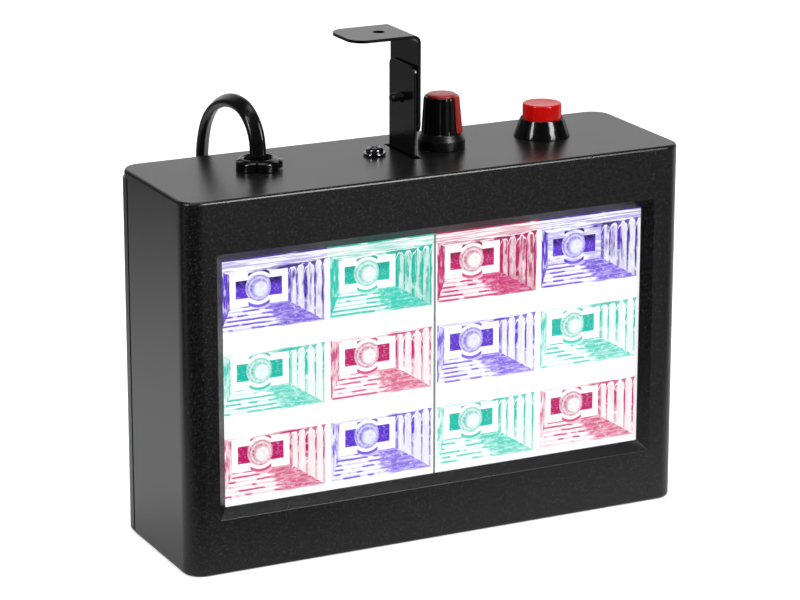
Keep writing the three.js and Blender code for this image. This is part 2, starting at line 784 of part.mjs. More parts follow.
// Push button: collar with its threaded barrel, nut, sprung cap and contact base
const buttonGroup = new THREE.Group();
buttonGroup.position.set(button.x, controlLineY, shell.height);
part.add(buttonGroup);
const collarBase = gap;
const pocketFloor = button.collarHeight - button.pocketDepth;
const collar = turned([
  [0, -button.barrelLength],
  [button.barrelRadius, -button.barrelLength],
  [button.barrelRadius, collarBase],
  [button.collarRadius, collarBase],
  [button.collarRadius, collarBase + button.collarLip],
  [button.collarTopRadius, button.collarHeight],
  [0, button.collarHeight],
]);
const barrelFloor = -button.barrelLength + button.barrelRadius - button.boreRadius;
add('button_housing', cut(collar,
  rod(button.capRadius + gap, pocketFloor, button.collarHeight + overrun),
  rod(button.boreRadius, barrelFloor, pocketFloor + overrun)),
blackGloss, [0, 0, 0], [0, 0, 0], buttonGroup);
add('button_panel_nut', hexagonNut(button.nutSize, button.nutHeight, button.barrelRadius + gap), steel,
  [0, 0, -shell.wall - gap - button.nutHeight], [0, 0, 0], buttonGroup);
const capEdge = button.capRadius - button.stemRadius / 4;
add('button_cap', turned([
  [0, button.capBottom - button.stemLength],
  [button.stemRadius, button.capBottom - button.stemLength],
  [button.stemRadius, button.capBottom],
  [button.capRadius, button.capBottom],
  [button.capRadius, button.capHeight - gap * 2],
  [capEdge, button.capHeight],
  [0, button.capHeight],
]), redPlastic, [0, 0, 0], [0, 0, 0], buttonGroup);
const lugs = [-1, 1].map((side) => block(
  [(side * button.lugSpread) / 2 - button.lugWidth / 2, -gap, -button.lugLength],
  [(side * button.lugSpread) / 2 + button.lugWidth / 2, gap, 0],
));
add('button_contact_base', join(rod(button.baseRadius, -overrun / 4, button.baseHeight),
  ...lugs), blackSatin,
[0, 0, -button.barrelLength - gap - button.baseHeight], [0, 0, 0], buttonGroup);

// Return spring round the button's stem
const springLow = barrelFloor + gap + spring.wire / 2;
const springHigh = button.capBottom - gap - spring.wire / 2;
function springGeometry() {
  const steps = spring.turns * spring.stepsPerTurn;
  const rings = [];
  for (let i = 0; i <= steps; i += 1) {
    const angle = (i / spring.stepsPerTurn) * 2 * Math.PI;
    const centre = springLow + ((springHigh - springLow) * i) / steps;
    const ring = [];
    for (let k = 0; k < spring.sides; k += 1) {
      const around = (k / spring.sides) * 2 * Math.PI;
      const reach = spring.radius - (spring.wire / 2) * Math.cos(around);
      const height = centre + (spring.wire / 2) * Math.sin(around);
      ring.push([reach * Math.cos(angle), reach * Math.sin(angle), height]);
    }
    rings.push(ring);
  }
  return loft(rings);
}
add('button_return_spring', springGeometry(), steel, [0, 0, 0], [0, 0, 0], buttonGroup);

// Bushing for the lead: turned body with a slot for the flat lead and a clamp block at one side
const bushingGroup = new THREE.Group();
bushingGroup.position.set(bushing.x, bushing.y, shell.height);
bushingGroup.rotation.z = THREE.MathUtils.degToRad(bushing.turn);
part.add(bushingGroup);
const bushingTop = gap + bushing.headHeight;
const bushingBody = turned([
  [0, -shell.wall - bushing.neckLength],
  [bushing.neckRadius, -shell.wall - bushing.neckLength],
  [bushing.neckRadius, gap],
  [bushing.headRadius, gap],
  [bushing.headRadius, bushingTop - bushing.chamferRise],
  [bushing.headRadius - bushing.chamfer, bushingTop],
  [0, bushingTop],
]);
const leadSlot = block(
  [-lead.width / 2 - gap, -lead.thickness / 2 - gap, -shell.wall - bushing.neckLength - overrun],
  [lead.width / 2 + gap, lead.thickness / 2 + gap, bushingTop + overrun],
);
const clampFloor = bushingTop - bushing.clampHeight;
const clampPocket = block([bushing.clampStart - gap, -bushing.clampWidth / 2 - gap, clampFloor - gap],
  [bushing.headRadius + overrun, bushing.clampWidth / 2 + gap, bushingTop + overrun]);
const clampBlock = block(
  [bushing.clampStart, -bushing.clampWidth / 2, clampFloor],
  [bushing.clampReach, bushing.clampWidth / 2, bushingTop - gap],
);
const relief = cut(bushingBody, leadSlot, clampPocket);
add('strain_relief_body', relief, blackGloss, [0, 0, 0], [0, 0, 0], bushingGroup);
add('strain_relief_clamp', clampBlock, blackGloss, [0, 0, 0], [0, 0, 0], bushingGroup);

// The flat section of the lead: eight or six points, its wide side along the first axis
const flatReach = lead.flatShare * lead.width;
const eightSided = [
  [lead.width / 2, lead.thickness / 5],
  [flatReach * 0.85, lead.thickness / 2],
  [-flatReach * 0.85, lead.thickness / 2],
  [-lead.width / 2, lead.thickness / 5],
  [-lead.width / 2, -lead.thickness / 5],
  [-flatReach * 0.85, -lead.thickness / 2],
  [flatReach * 0.85, -lead.thickness / 2],
  [lead.width / 2, -lead.thickness / 5],
];
const sixSided = [
  [lead.width / 2, 0],
  [flatReach * 0.75, lead.thickness / 2],
  [-flatReach * 0.75, lead.thickness / 2],
  [-lead.width / 2, 0],
  [-flatReach * 0.75, -lead.thickness / 2],
  [flatReach * 0.75, -lead.thickness / 2],
];

// A tube of a section along points, the section turned so that its first axis starts along wide
function tube(points, section, steps, wide = new THREE.Vector3(1, 0, 0)) {
  const path = new THREE.CatmullRomCurve3(points.map((point) => new THREE.Vector3(...point)));
  const frames = path.computeFrenetFrames(steps, false);
  const turn = Math.atan2(wide.dot(frames.binormals[0]), wide.dot(frames.normals[0]));
  const outline = new THREE.Shape(section.map(([x, y]) =>
    new THREE.Vector2(x, y).rotateAround(new THREE.Vector2(), turn)));
  return new THREE.ExtrudeGeometry(outline, { steps, extrudePath: path, bevelEnabled: false });
}
const gripAngle = bushingGroup.rotation.z;
const gripDirection = new THREE.Vector3(Math.cos(gripAngle), Math.sin(gripAngle), 0);

// A route between two ends: straight out of each end for its run, and between them by shares of the way
function route(start, startRun, end, endRun, shares) {
  const from = start.map((value, i) => value + startRun[i]);
  const to = end.map((value, i) => value + endRun[i]);
  const between = shares.map((share) => from.map((value, i) => value + (to[i] - value) * share[i]));
  return [start, from, ...between, to, end];
}

// Lead inside the case, from the bushing down to the terminal block
const terminalTop = terminalZ + terminal.height / 2;
const terminalY = partsFrontY - reach(terminal) / 2;
const bushingFaceZ = shell.height + bushingTop;
const neckEnd = insideTop - bushing.neckLength;
const innerLeadShares = [[0.22, 0.2, 0.34], [0.72, 0.75, 0.74]];
const innerLeadPoints = [
  [bushing.x, bushing.y, bushingFaceZ - gap],
  ...route([bushing.x, bushing.y, neckEnd], [0, 0, -lead.width],
    [terminalX, terminalY, terminalTop + gap], [0, 0, lead.width], innerLeadShares),
];
add('inner_power_lead', tube(innerLeadPoints, eightSided, 18, gripDirection), leadBlack);

// Free stretch of the lead: up out of the bushing, over and down behind the case, then to the coil
const coilStart = [-7.6, 90.1];
const freePoints = [
  [-49.15, 4.4, bushingFaceZ + gap],
  [-49.15, 4.4, 127.2],
  [-49.25, 4.8, 130.2],
  [-49.4, 6, 133.2],
  [-49.7, 8, 135.9],
  [-50, 10.7, 138],
  [-50.3, 14.1, 139.3],
  [-50.9, 19, 139.8],
  [-51.3, 23.8, 139.1],
  [-51.7, 28.2, 137.5],
  [-52.1, 32, 135.2],
  [-52.4, 35.2, 132.2],
  [-52.7, 37.6, 128.4],
  [-52.9, 39.2, 124],
  [-53, 40.2, 119],
  [-53, 40.5, 108],
  [-53, 40.5, 94],
  [-53, 40.5, 80],
  [-53, 40.5, 66],
  [-53, 40.5, 52],
  [-53, 40.5, 38],
  [-53, 40.5, 28],
  [-51.7, 41.9, 17],
  [-48, 45.9, 8.8],
  [-42.4, 51.8, 4.5],
  [-36.2, 58.4, 3.2],
  [-29.6, 65.2, leadHeight],
  [-21.2, 74.6, leadHeight],
  [-15, 81.6, leadHeight],
  [-11.3, 85.9, leadHeight],
];
add('power_cord', tube(freePoints, eightSided, 36, gripDirection), leadBlack);

// Coil of the lead: one tube that spirals in on the floor, climbs a layer and spirals out again
function coilPath() {
  const heading = THREE.MathUtils.degToRad(coil.startHeading);
  const startAngle = heading + Math.PI / 2;
  const start = new THREE.Vector3(coilStart[0], coilStart[1], leadHeight);
  const centre = new THREE.Vector3(
    start.x - coil.outerRadius * Math.cos(startAngle),
    start.y - coil.outerRadius * Math.sin(startAngle),
    leadHeight,
  );
  const stepAngle = (2 * Math.PI) / coil.stepsPerTurn;
  const middle = coil.steps / 2;
  const climbSteps = coil.stepsPerTurn / 2;
  const points = [];
  const ahead = new THREE.Vector3(Math.cos(heading), Math.sin(heading), 0);
  points.push(start.clone().addScaledVector(ahead, -lead.width));
  for (let i = 0; i <= coil.steps; i += 1) {
    const turns = (middle - Math.abs(i - middle)) / coil.stepsPerTurn;
    const radius = coil.outerRadius - coil.turnPitch * turns;
    const angle = startAngle - i * stepAngle;
    const climb = THREE.MathUtils.smoothstep(i, middle - climbSteps / 2, middle + climbSteps / 2);
    const spoke = new THREE.Vector3(Math.cos(angle), Math.sin(angle), 0).multiplyScalar(radius);
    spoke.z = coil.layerPitch * climb;
    points.push(spoke.add(centre));
  }
  const last = points.at(-1);
  const endAngle = startAngle - coil.steps * stepAngle - Math.PI / 2;
  const plugFace = new THREE.Vector3(plug.x - gap, plug.y, plug.z);
  const straight = plugFace.clone().add(new THREE.Vector3(-lead.width, 0, 0));
  const pull = last.distanceTo(straight) / 3;
  const tail = new THREE.CubicBezierCurve3(
    last,
    last.clone().add(new THREE.Vector3(Math.cos(endAngle), Math.sin(endAngle), 0).multiplyScalar(pull)),
    straight.clone().add(new THREE.Vector3(-pull, 0, 0)),
    straight,
  );
  points.push(...tail.getPoints(coil.tailSteps).slice(1), plugFace);
  return points;
}

// The rings of a tube whose wide side stays upright
function uprightRings(points, section) {
  const upright = new THREE.Vector3(0, 0, 1);
  return points.map((point, i) => {
    const before = points[Math.max(i - 1, 0)];
    const after = points[Math.min(i + 1, points.length - 1)];
    const along = after.clone().sub(before).normalize();
    const wide = upright.clone().addScaledVector(along, -along.z).normalize();
    const across = new THREE.Vector3().crossVectors(along, wide);
    return section.map(([w, t]) =>
      point.clone().addScaledVector(wide, w).addScaledVector(across, t).toArray());
  });
}
const coilPoints = coilPath();
const coilRings = uprightRings(coilPoints, sixSided);

// Least gap between two stretches of the coil that lie at least half a turn apart
function leastGap(rings) {
  const apart = coil.stepsPerTurn / 2;
  const outline = rings.map((ring) => ring.flatMap((point, k) => {
    const from = new THREE.Vector3(...point);
    const to = new THREE.Vector3(...ring[(k + 1) % ring.length]);
    return [0, 0.25, 0.5, 0.75].map((share) => from.clone().lerp(to, share));
  }));
  let least = Infinity;
  outline.forEach((ring, i) => outline.slice(i + apart).forEach((other) => {
    ring.forEach((a) => other.forEach((b) => {
      least = Math.min(least, a.distanceTo(b));
    }));
  }));
  return least;
}
console.log(`least gap of the coil to itself: ${leastGap(coilRings).toFixed(2)} mm`);
const coilLength = coilPoints.slice(1).reduce((sum, point, i) => sum + point.distanceTo(coilPoints[i]), 0);
const freeCurve = new THREE.CatmullRomCurve3(freePoints.map((point) => new THREE.Vector3(...point)));
const freeLength = freeCurve.getLength();
console.log(`free lead: ${freeLength.toFixed(0)} mm to the coil and ${coilLength.toFixed(0)} mm in it`);
add('power_cord_coil', loft(coilRings), leadBlack);

// Plug: a tapered relief, a flat body that widens to its face, and two round pins
const plugGroup = new THREE.Group();
plugGroup.position.set(plug.x, plug.y, plug.z);
part.add(plugGroup);
const acrossX = (ring) => ring.map(([x, y, z]) => [z, x, y]);
const plugRelief = loft([
  acrossX(rectangle(plug.reliefWidth, plug.reliefHeight, 0)),
  acrossX(rectangle(plug.reliefEndWidth, plug.reliefEndHeight, plug.reliefLength + overrun)),
]);
const faceX = plug.reliefLength + plug.bodyLength;
const halfWidth = plug.bodyWidth / 2;
const plugOutline = new THREE.Shape();
plugOutline.moveTo(plug.reliefLength, -plug.reliefEndWidth / 2);
plugOutline.lineTo(plug.reliefLength + plug.shoulderLength, -halfWidth);
plugOutline.lineTo(faceX, -halfWidth);
plugOutline.lineTo(faceX, halfWidth);
plugOutline.lineTo(plug.reliefLength + plug.shoulderLength, halfWidth);
plugOutline.lineTo(plug.reliefLength, plug.reliefEndWidth / 2);
const plugBlock = prism(plugOutline, plug.bodyThickness, plug.edge)
  .translate(0, 0, -plug.bodyThickness / 2);
const pinHole = rod(plug.pinRadius + gap, faceX - plug.pinSeat - gap, faceX + overrun, smallSteps)
  .rotateY(Math.PI / 2);
const pinHoles = [-1, 1].map((side) => pinHole.clone().translate(0, (side * plug.pinSpacing) / 2, 0));
add('plug_body', cut(join(plugRelief, plugBlock), ...pinHoles), leadBlack, [0, 0, 0], [0, 0, 0], plugGroup);
['plug_pin_near', 'plug_pin_far'].forEach((name, i) => {
  const pin = turned([
    [0, -plug.pinSeat],
    [plug.pinRadius, -plug.pinSeat],
    [plug.pinRadius, plug.pinLength - plug.pinRadius / 2],
    [plug.pinRadius / 2, plug.pinLength],
    [0, plug.pinLength],
  ], smallSteps);
  add(name, pin, brass, [faceX, ((2 * i - 1) * plug.pinSpacing) / 2, 0], [0, Math.PI / 2, 0], plugGroup);
});

// Lower bracket: a strap standing through the slot on a foot held under the top wall
const acrossStrap = (outline, x, y) => prism(outline, bracket.sheet)
  .rotateY(Math.PI / 2)
  .rotateX(Math.PI / 2)
  .translate(x, y, 0);
const footTop = insideTop - gap;
const halfStrap = bracket.width / 2;
const quarterTurn = Math.PI / 2;
function strapOutline(width, low, high, lowCorner, highCorner) {
  const half = width / 2;
  const outline = new THREE.Shape();
  outline.moveTo(-half + lowCorner, low);
  outline.lineTo(half - lowCorner, low);
  if (lowCorner > 0) outline.absarc(half - lowCorner, low + lowCorner, lowCorner, -quarterTurn, 0);
  outline.lineTo(half, high - highCorner);
  if (highCorner > 0) {
    outline.absarc(half - highCorner, high - highCorner, highCorner, 0, quarterTurn);
    outline.lineTo(-half + highCorner, high);
    outline.absarc(-half + highCorner, high - highCorner, highCorner, quarterTurn, 2 * quarterTurn);
  } else {
    outline.lineTo(-half, high);
  }
  if (lowCorner > 0) {
    outline.lineTo(-half, low + lowCorner);
    outline.absarc(-half + lowCorner, low + lowCorner, lowCorner, 2 * quarterTurn, 3 * quarterTurn);
  }
  return outline;
}
const pivotHole = rod(pivot.radius + gap, bracket.x - overrun, bracket.x + 3 * bracket.sheet + overrun)
  .rotateY(Math.PI / 2).translate(0, controlLineY, pivotHeight);
const footBottom = footTop - bracket.sheet;
const foot = block(
  [bracket.x + bracket.sheet - bracket.footLength, controlLineY - halfStrap, footBottom],
  [bracket.x + bracket.sheet, controlLineY + halfStrap, footTop],
);
const strap = strapOutline(bracket.width, footBottom, lowerTop, 0, bracket.lowerCorner);
const footHole = rod(fixing.radius + gap, footBottom - overrun, footTop + overrun)
  .translate(fixing.x, controlLineY, 0);
const lowerSheet = join(acrossStrap(strap, bracket.x, controlLineY), foot);
add('lower_bracket', cut(lowerSheet, pivotHole, footHole), blackPaint);

// Upper bracket: its leg lies against the strap, flush with it in front and wider behind, and its
// flange is screwed up to a surface
function upperBracket() {
  const halfUpper = bracket.upperWidth / 2;
  const middleY = controlLineY - halfStrap + halfUpper;
  const legX = bracket.x + bracket.sheet + gap;
  const flangeLeft = legX + bracket.sheet - bracket.flangeReach;
  const outline = new THREE.Shape();
  const bend = bracket.bendRadius;
  const right = legX + bracket.sheet;
  outline.moveTo(legX, upperBottom);
  outline.lineTo(right, upperBottom);
  outline.lineTo(right, upperTop - bend);
  outline.absarc(right - bend, upperTop - bend, bend, 0, quarterTurn);
  outline.lineTo(flangeLeft, upperTop);
  outline.lineTo(flangeLeft, upperTop - bracket.sheet);
  outline.lineTo(right - bend, upperTop - bracket.sheet);
  outline.absarc(right - bend, upperTop - bend, bend - bracket.sheet, quarterTurn, 0, true);
  const profile = prism(outline, bracket.upperWidth)
    .rotateX(quarterTurn)
    .translate(0, middleY + halfUpper, 0);
  const leg = strapOutline(bracket.upperWidth, upperBottom, upperTop + overrun, bracket.upperCorner, 0);
  const legLimit = acrossStrap(leg, legX, middleY);
  const limitHeight = overrun + bracket.sheet + bend;
  const flangeLimit = join(
    prism(roundedOutline(bracket.flangeReach, bracket.upperWidth, bracket.flangeCorner), limitHeight),
    block([0, -halfUpper, 0], [bracket.flangeReach / 2, halfUpper, limitHeight]),
  ).translate(right - bracket.flangeReach / 2, middleY, upperTop - bracket.sheet - bend);
  const screwHole = rod(bracket.holeRadius, upperTop - bracket.sheet - overrun, upperTop + overrun)
    .translate(bracket.holeX, middleY, 0);
  return cut(common(profile, join(legLimit, flangeLimit)), pivotHole, screwHole);
}
add('upper_bracket', upperBracket(), blackPaint);

const pivotHeadX = bracket.x + 2 * bracket.sheet + 2 * gap;
add('pivot_screw', panScrew(pivot, pivotHeadX - bracket.x + pivot.tipPastSheet), steel,
  [pivotHeadX, controlLineY, pivotHeight], [0, Math.PI / 2, 0]);
add('bracket_fixing_screw', panScrew(fixing, fixing.length), steel,
  [fixing.x, controlLineY, shell.height + gap]);
add('bracket_fixing_nut', hexagonNut(fixing.nutSize, fixing.nutHeight, fixing.radius + gap), steel,
  [fixing.x, controlLineY, footBottom - gap - fixing.nutHeight]);

// Wires from the driver board to the emitters, the potentiometer and the button
const wire = {
  bundleRadius: 1.6,
  pairRadius: 1.2,
  sides: 8,
  run: 3,
  emitterX: 74,
  emitterZ: 10,
  emitterRise: 4,
  emitterShift: 8,
  knobZ: 53,
  buttonX: 94,
  buttonZ: 43,
};
const roundSection = (radius) => Array.from({ length: wire.sides }, (_, i) => [
  radius * Math.cos((i * 2 * Math.PI) / wire.sides),
  radius * Math.sin((i * 2 * Math.PI) / wire.sides),
]);
const wireShares = [[0.25, 0.2, 0.3], [0.6, 0.5, 0.62], [0.9, 0.8, 0.9]];
const onBoard = (x, z) => [driverLeft + x, partsFrontY, driver.bottom + z];
const [emitterX, , emitterZ] = onBoard(wire.emitterX, wire.emitterZ);
add('led_wires', tube(route(
  onBoard(wire.emitterX, wire.emitterZ),
  [0, -wire.run, 0],
  [emitterX + wire.emitterShift, ledBoardBackY + gap, emitterZ + wire.emitterRise],
  [0, wire.run, 0],
  wireShares,
), roundSection(wire.bundleRadius), 14), wireRed);
const canBottom = potTop - pot.canHeight;
add('knob_wires', tube(route(
  [pot.x, controlLineY + pot.canRadius + pot.lugReach / 2, canBottom - gap],
  [0, 0, -wire.run],
  [pot.x, partsFrontY, driver.bottom + wire.knobZ],
  [0, -wire.run, 0],
  wireShares,
), roundSection(wire.pairRadius), 18), wireRed);
const lugEndZ = shell.height - button.barrelLength - gap - button.baseHeight - button.lugLength;
add('button_wires', tube(route(
  [button.x - button.lugSpread / 2, controlLineY, lugEndZ - gap],
  [0, 0, -wire.run],
  onBoard(wire.buttonX, wire.buttonZ),
  [0, -wire.run, 0],
  wireShares,
), roundSection(wire.pairRadius), 18), wireRed);

export default part;
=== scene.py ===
import math

import bmesh
import bpy
from mathutils import Matrix, Vector


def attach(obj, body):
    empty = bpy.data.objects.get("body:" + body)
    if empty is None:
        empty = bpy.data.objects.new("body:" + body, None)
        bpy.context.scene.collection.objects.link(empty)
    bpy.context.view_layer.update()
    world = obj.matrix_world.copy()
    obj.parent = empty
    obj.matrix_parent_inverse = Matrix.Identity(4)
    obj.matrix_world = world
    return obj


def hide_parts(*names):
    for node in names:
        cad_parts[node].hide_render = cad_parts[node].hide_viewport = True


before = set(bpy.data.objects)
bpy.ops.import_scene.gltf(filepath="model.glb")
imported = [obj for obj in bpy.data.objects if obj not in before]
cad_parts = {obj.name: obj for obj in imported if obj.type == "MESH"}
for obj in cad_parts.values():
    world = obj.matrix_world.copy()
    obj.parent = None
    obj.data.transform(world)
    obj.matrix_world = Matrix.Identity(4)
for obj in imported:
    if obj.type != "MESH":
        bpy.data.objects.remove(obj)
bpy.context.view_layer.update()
mm = 0.001
scene = bpy.context.scene


# Camera: a long lens a metre away, a little above the case and to its left, which
# keeps the upright edges nearly parallel.
camera_place = Vector((-461.08, -932.33, 381.75)) * mm
camera_azimuth = math.radians(-26.2413)
camera_elevation = math.radians(16.5543)
camera_roll = math.radians(0.07)
camera_lens = 150.93
camera_sensor = 36

camera_data = bpy.data.cameras.new("camera")
camera_data.sensor_width = camera_sensor
camera_data.lens = camera_lens
camera_data.clip_start = 0.01
camera = bpy.data.objects.new("camera", camera_data)
scene.collection.objects.link(camera)
back = Vector((
    math.sin(camera_azimuth) * math.cos(camera_elevation),
    -math.cos(camera_azimuth) * math.cos(camera_elevation),
    math.sin(camera_elevation),
))
level = Vector((math.cos(camera_azimuth), math.sin(camera_azimuth), 0))
upward = back.cross(level)
right = math.cos(camera_roll) * level + math.sin(camera_roll) * upward
above = back.cross(right)
turn = Matrix((right, above, back)).transposed()
camera.matrix_world = Matrix.Translation(camera_place) @ turn.to_4x4()
scene.camera = camera


# Studio: a pale floor and a white wall behind, dark towards the camera, with two upright
# strip lights in front that leave the streaks on the glossy parts.
scene.view_settings.view_transform = "Standard"
lamps = [
    ("left_strip", (-0.56, -0.16, 0.57), (0.07, 0.6), 2.4, (0, 0, 0.57), True, True),
    ("right_strip", (0.27, -0.57, 0.56), (0.2, 0.6), 5.8, (0, 0, 0.56), True, False),
    ("right_fill", (0.27, -0.57, 0.56), (0.3, 0.6), 4.2, (0, 0, 0.3), False, True),
    ("soft_overhead", (-0.2, -0.1, 1.3), (1.2, 1.0), 5, (0, 0, 0.07), False, True),
]
for name, place, size, watts, target, in_gloss, on_matt in lamps:
    lamp_data = bpy.data.lights.new(name, "AREA")
    lamp_data.shape = "RECTANGLE"
    lamp_data.size, lamp_data.size_y = size
    lamp_data.energy = watts
    lamp = bpy.data.objects.new(name, lamp_data)
    lamp.location = place
    aim = Vector(target) - lamp.location
    lamp.rotation_euler = aim.to_track_quat("-Z", "Y").to_euler()
    lamp.visible_glossy = in_gloss
    lamp.visible_diffuse = on_matt
    scene.collection.objects.link(lamp)


def count_node(operation, a, b=0.0):
    """A Math node on two values or sockets, in the tree being built."""
    node = nodes.new("ShaderNodeMath")
    node.operation = operation
    for socket, value in zip(node.inputs, (a, b)):
        if isinstance(value, bpy.types.NodeSocket):
            links.new(value, socket)
        else:
            socket.default_value = value
    return node.outputs[0]


def chained(operation, values):
    """Values or sockets joined by one Math operation, two at a time."""
    total = values[0]
    for value in values[1:]:
        total = count_node(operation, total, value)
    return total


def times(*values):
    return chained("MULTIPLY", values)


def plus(*values):
    return chained("ADD", values)


def largest(*values):
    return chained("MAXIMUM", values)


def less(value):
    """What a value leaves of 1."""
    return count_node("SUBTRACT", 1, value)


def graded(value, low, high, to_low=0.0, to_high=1.0):
    """A smooth step of a value between two levels, in the tree being built."""
    node = nodes.new("ShaderNodeMapRange")
    node.interpolation_type = "SMOOTHSTEP"
    links.new(value, node.inputs["Value"])
    for label, number in (("From Min", low), ("From Max", high), ("To Min", to_low), ("To Max", to_high)):
        node.inputs[label].default_value = number
    return node.outputs["Result"]


def split_axes(source="Object"):
    """The X, Y and Z of a place or a direction, in the tree being built."""
    place = nodes.new("ShaderNodeTexCoord")
    axes = nodes.new("ShaderNodeSeparateXYZ")
    links.new(place.outputs[source], axes.inputs[0])
    return axes.outputs


def background(grey, strength=1.0):
    """An even light of one grey, in the tree being built."""
    node = nodes.new("ShaderNodeBackground")
    node.inputs["Color"].default_value = (grey, grey, grey, 1)
    node.inputs["Strength"].default_value = strength
    return node


def mixed(share, first, second):
    """Two shaders in one: the first where share is 0 and the second where it is 1."""
    node = nodes.new("ShaderNodeMixShader")
    for socket, source in zip(node.inputs, (share, first, second)):
        links.new(source, socket)
    return node.outputs[0]


fill_strength, mirrored_grey = 0.85, 0.82
darkest_wall, ceiling_strength = 0.05, 3.2
world = bpy.data.worlds.new("white_room")
scene.world = world
world.use_nodes = True
nodes, links = world.node_tree.nodes, world.node_tree.links
nodes.clear()
x, y, z = split_axes("Generated")
wall_light = times(graded(y, 0.0, 0.45), graded(z, 0.55, 0.8, 1.0, 0.0), graded(x, -0.35, 0.15, 0.1, 1.0))
ceiling_light = times(graded(z, 0.93, 0.97), ceiling_strength, graded(y, -0.2, -0.04))
mirrored = background(mirrored_grey)
links.new(plus(largest(wall_light, darkest_wall), ceiling_light), mirrored.inputs["Strength"])
rays = nodes.new("ShaderNodeLightPath").outputs
room = mixed(rays["Is Glossy Ray"], background(1, fill_strength).outputs[0], mirrored.outputs[0])
looked_at = largest(rays["Is Camera Ray"], rays["Is Transmission Ray"])
out = nodes.new("ShaderNodeOutputWorld")
links.new(mixed(looked_at, room, background(1).outputs[0]), out.inputs["Surface"])

floor_half, floor_drop = 3, 0.1
paper_grey, paper_glow = 0.86, 0.35
floor_mesh = bpy.data.meshes.new("floor")
floor_mesh.from_pydata(
    [(-floor_half, -floor_half, 0), (floor_half, -floor_half, 0),
     (floor_half, floor_half, 0), (-floor_half, floor_half, 0)], [], [(0, 1, 2, 3)])
floor = bpy.data.objects.new("floor", floor_mesh)
floor.location.z = -floor_drop * mm
scene.collection.objects.link(floor)
floor_look = bpy.data.materials.new("pale_floor")
floor_look.use_nodes = True
nodes, links = floor_look.node_tree.nodes, floor_look.node_tree.links
nodes.clear()
paper = nodes.new("ShaderNodeBsdfDiffuse")
paper.inputs["Color"].default_value = (paper_grey, paper_grey, paper_grey, 1)
glow = nodes.new("ShaderNodeEmission")
glow.inputs["Strength"].default_value = paper_glow
lit = nodes.new("ShaderNodeAddShader")
links.new(paper.outputs[0], lit.inputs[0])
links.new(glow.outputs[0], lit.inputs[1])
rays = nodes.new("ShaderNodeLightPath").outputs
looked_at = largest(rays["Is Camera Ray"], rays["Is Glossy Ray"], rays["Is Transmission Ray"])
pale = mixed(looked_at, paper.outputs[0], lit.outputs[0])

# In the gloss of the pieces the floor is pale behind the case and dim in front of it
x, y, z = split_axes()
in_front = times(graded(x, -0.1, 0.16, 0.02, 0.42), graded(x, 0.12, 0.26, 1.0, 0.55))
close_by = graded(y, -0.11, -0.04, 0.0, 0.35)
dim = nodes.new("ShaderNodeEmission")
links.new(times(plus(in_front, close_by), graded(y, -0.02, 0.04, 1.0, 0.03)), dim.inputs["Strength"])
slantwise = plus(x, y, 0.1145)
pale_share = times(graded(y, -0.06, 0.06), graded(y, 0.05, 0.55, 0.64, 0.1), graded(slantwise, -0.12, -0.05))
out = nodes.new("ShaderNodeOutputMaterial")
links.new(mixed(times(less(pale_share), rays["Is Glossy Ray"]), pale, dim.outputs[0]), out.inputs["Surface"])
floor_mesh.materials.append(floor_look)


# Mains lead: two flat cores in one black PVC jacket, out of the top of the case in a
# tall loop, down behind it, and wound into a coil on the floor that ends at the plug.
def shader_nodes(name):
    """A new material with one Principled shader: (material, nodes, links, shader)."""
    material = bpy.data.materials.new(name)
    material.use_nodes = True
    tree = material.node_tree
    return material, tree.nodes, tree.links, tree.nodes["Principled BSDF"]


def set_sockets(node, **values):
    """Sets inputs by their names, with an underscore for each space."""
    for key, value in values.items():
        node.inputs[key.replace("_", " ")].default_value = value


def make_group(name, inputs, outputs):
    """A shader node group with float inputs: (tree, input node, output node)."""
    tree = bpy.data.node_groups.new(name, "ShaderNodeTree")
    for label, value in inputs:
        socket = tree.interface.new_socket(label, in_out="INPUT", socket_type="NodeSocketFloat")
        socket.default_value = value
    for label, kind in outputs:
        tree.interface.new_socket(label, in_out="OUTPUT", socket_type="NodeSocket" + kind)
    return tree, tree.nodes.new("NodeGroupInput"), tree.nodes.new("NodeGroupOutput")


def use_group(nodes, tree, **values):
    """A node that holds the group, with its own values."""
    node = nodes.new("ShaderNodeGroup")
    node.node_tree = tree
    set_sockets(node, **values)
    return node


# Fine grain: two sizes of noise, as height and as a mask of raised specks
grain, grain_in, grain_out = make_group("moulded_grain", [("Grain size mm", 0.4)], [
    ("Height", "Float"), ("Specks", "Float"), ("Clouds", "Float")])
nodes, links = grain.nodes, grain.links
place = nodes.new("ShaderNodeTexCoord").outputs["Object"]
fine = nodes.new("ShaderNodeTexNoise")
set_sockets(fine, Detail=2.0, Roughness=0.6)
links.new(place, fine.inputs["Vector"])
links.new(count_node("DIVIDE", 1 / mm, grain_in.outputs["Grain size mm"]), fine.inputs["Scale"])
broad = nodes.new("ShaderNodeTexNoise")
set_sockets(broad, Scale=60.0, Detail=3.0, Roughness=0.5)
links.new(place, broad.inputs["Vector"])
specks = nodes.new("ShaderNodeMapRange")
set_sockets(specks, From_Min=0.5, From_Max=0.8)
links.new(fine.outputs["Fac"], specks.inputs["Value"])
links.new(fine.outputs["Fac"], grain_out.inputs["Height"])
links.new(specks.outputs["Result"], grain_out.inputs["Specks"])
links.new(broad.outputs["Fac"], grain_out.inputs["Clouds"])


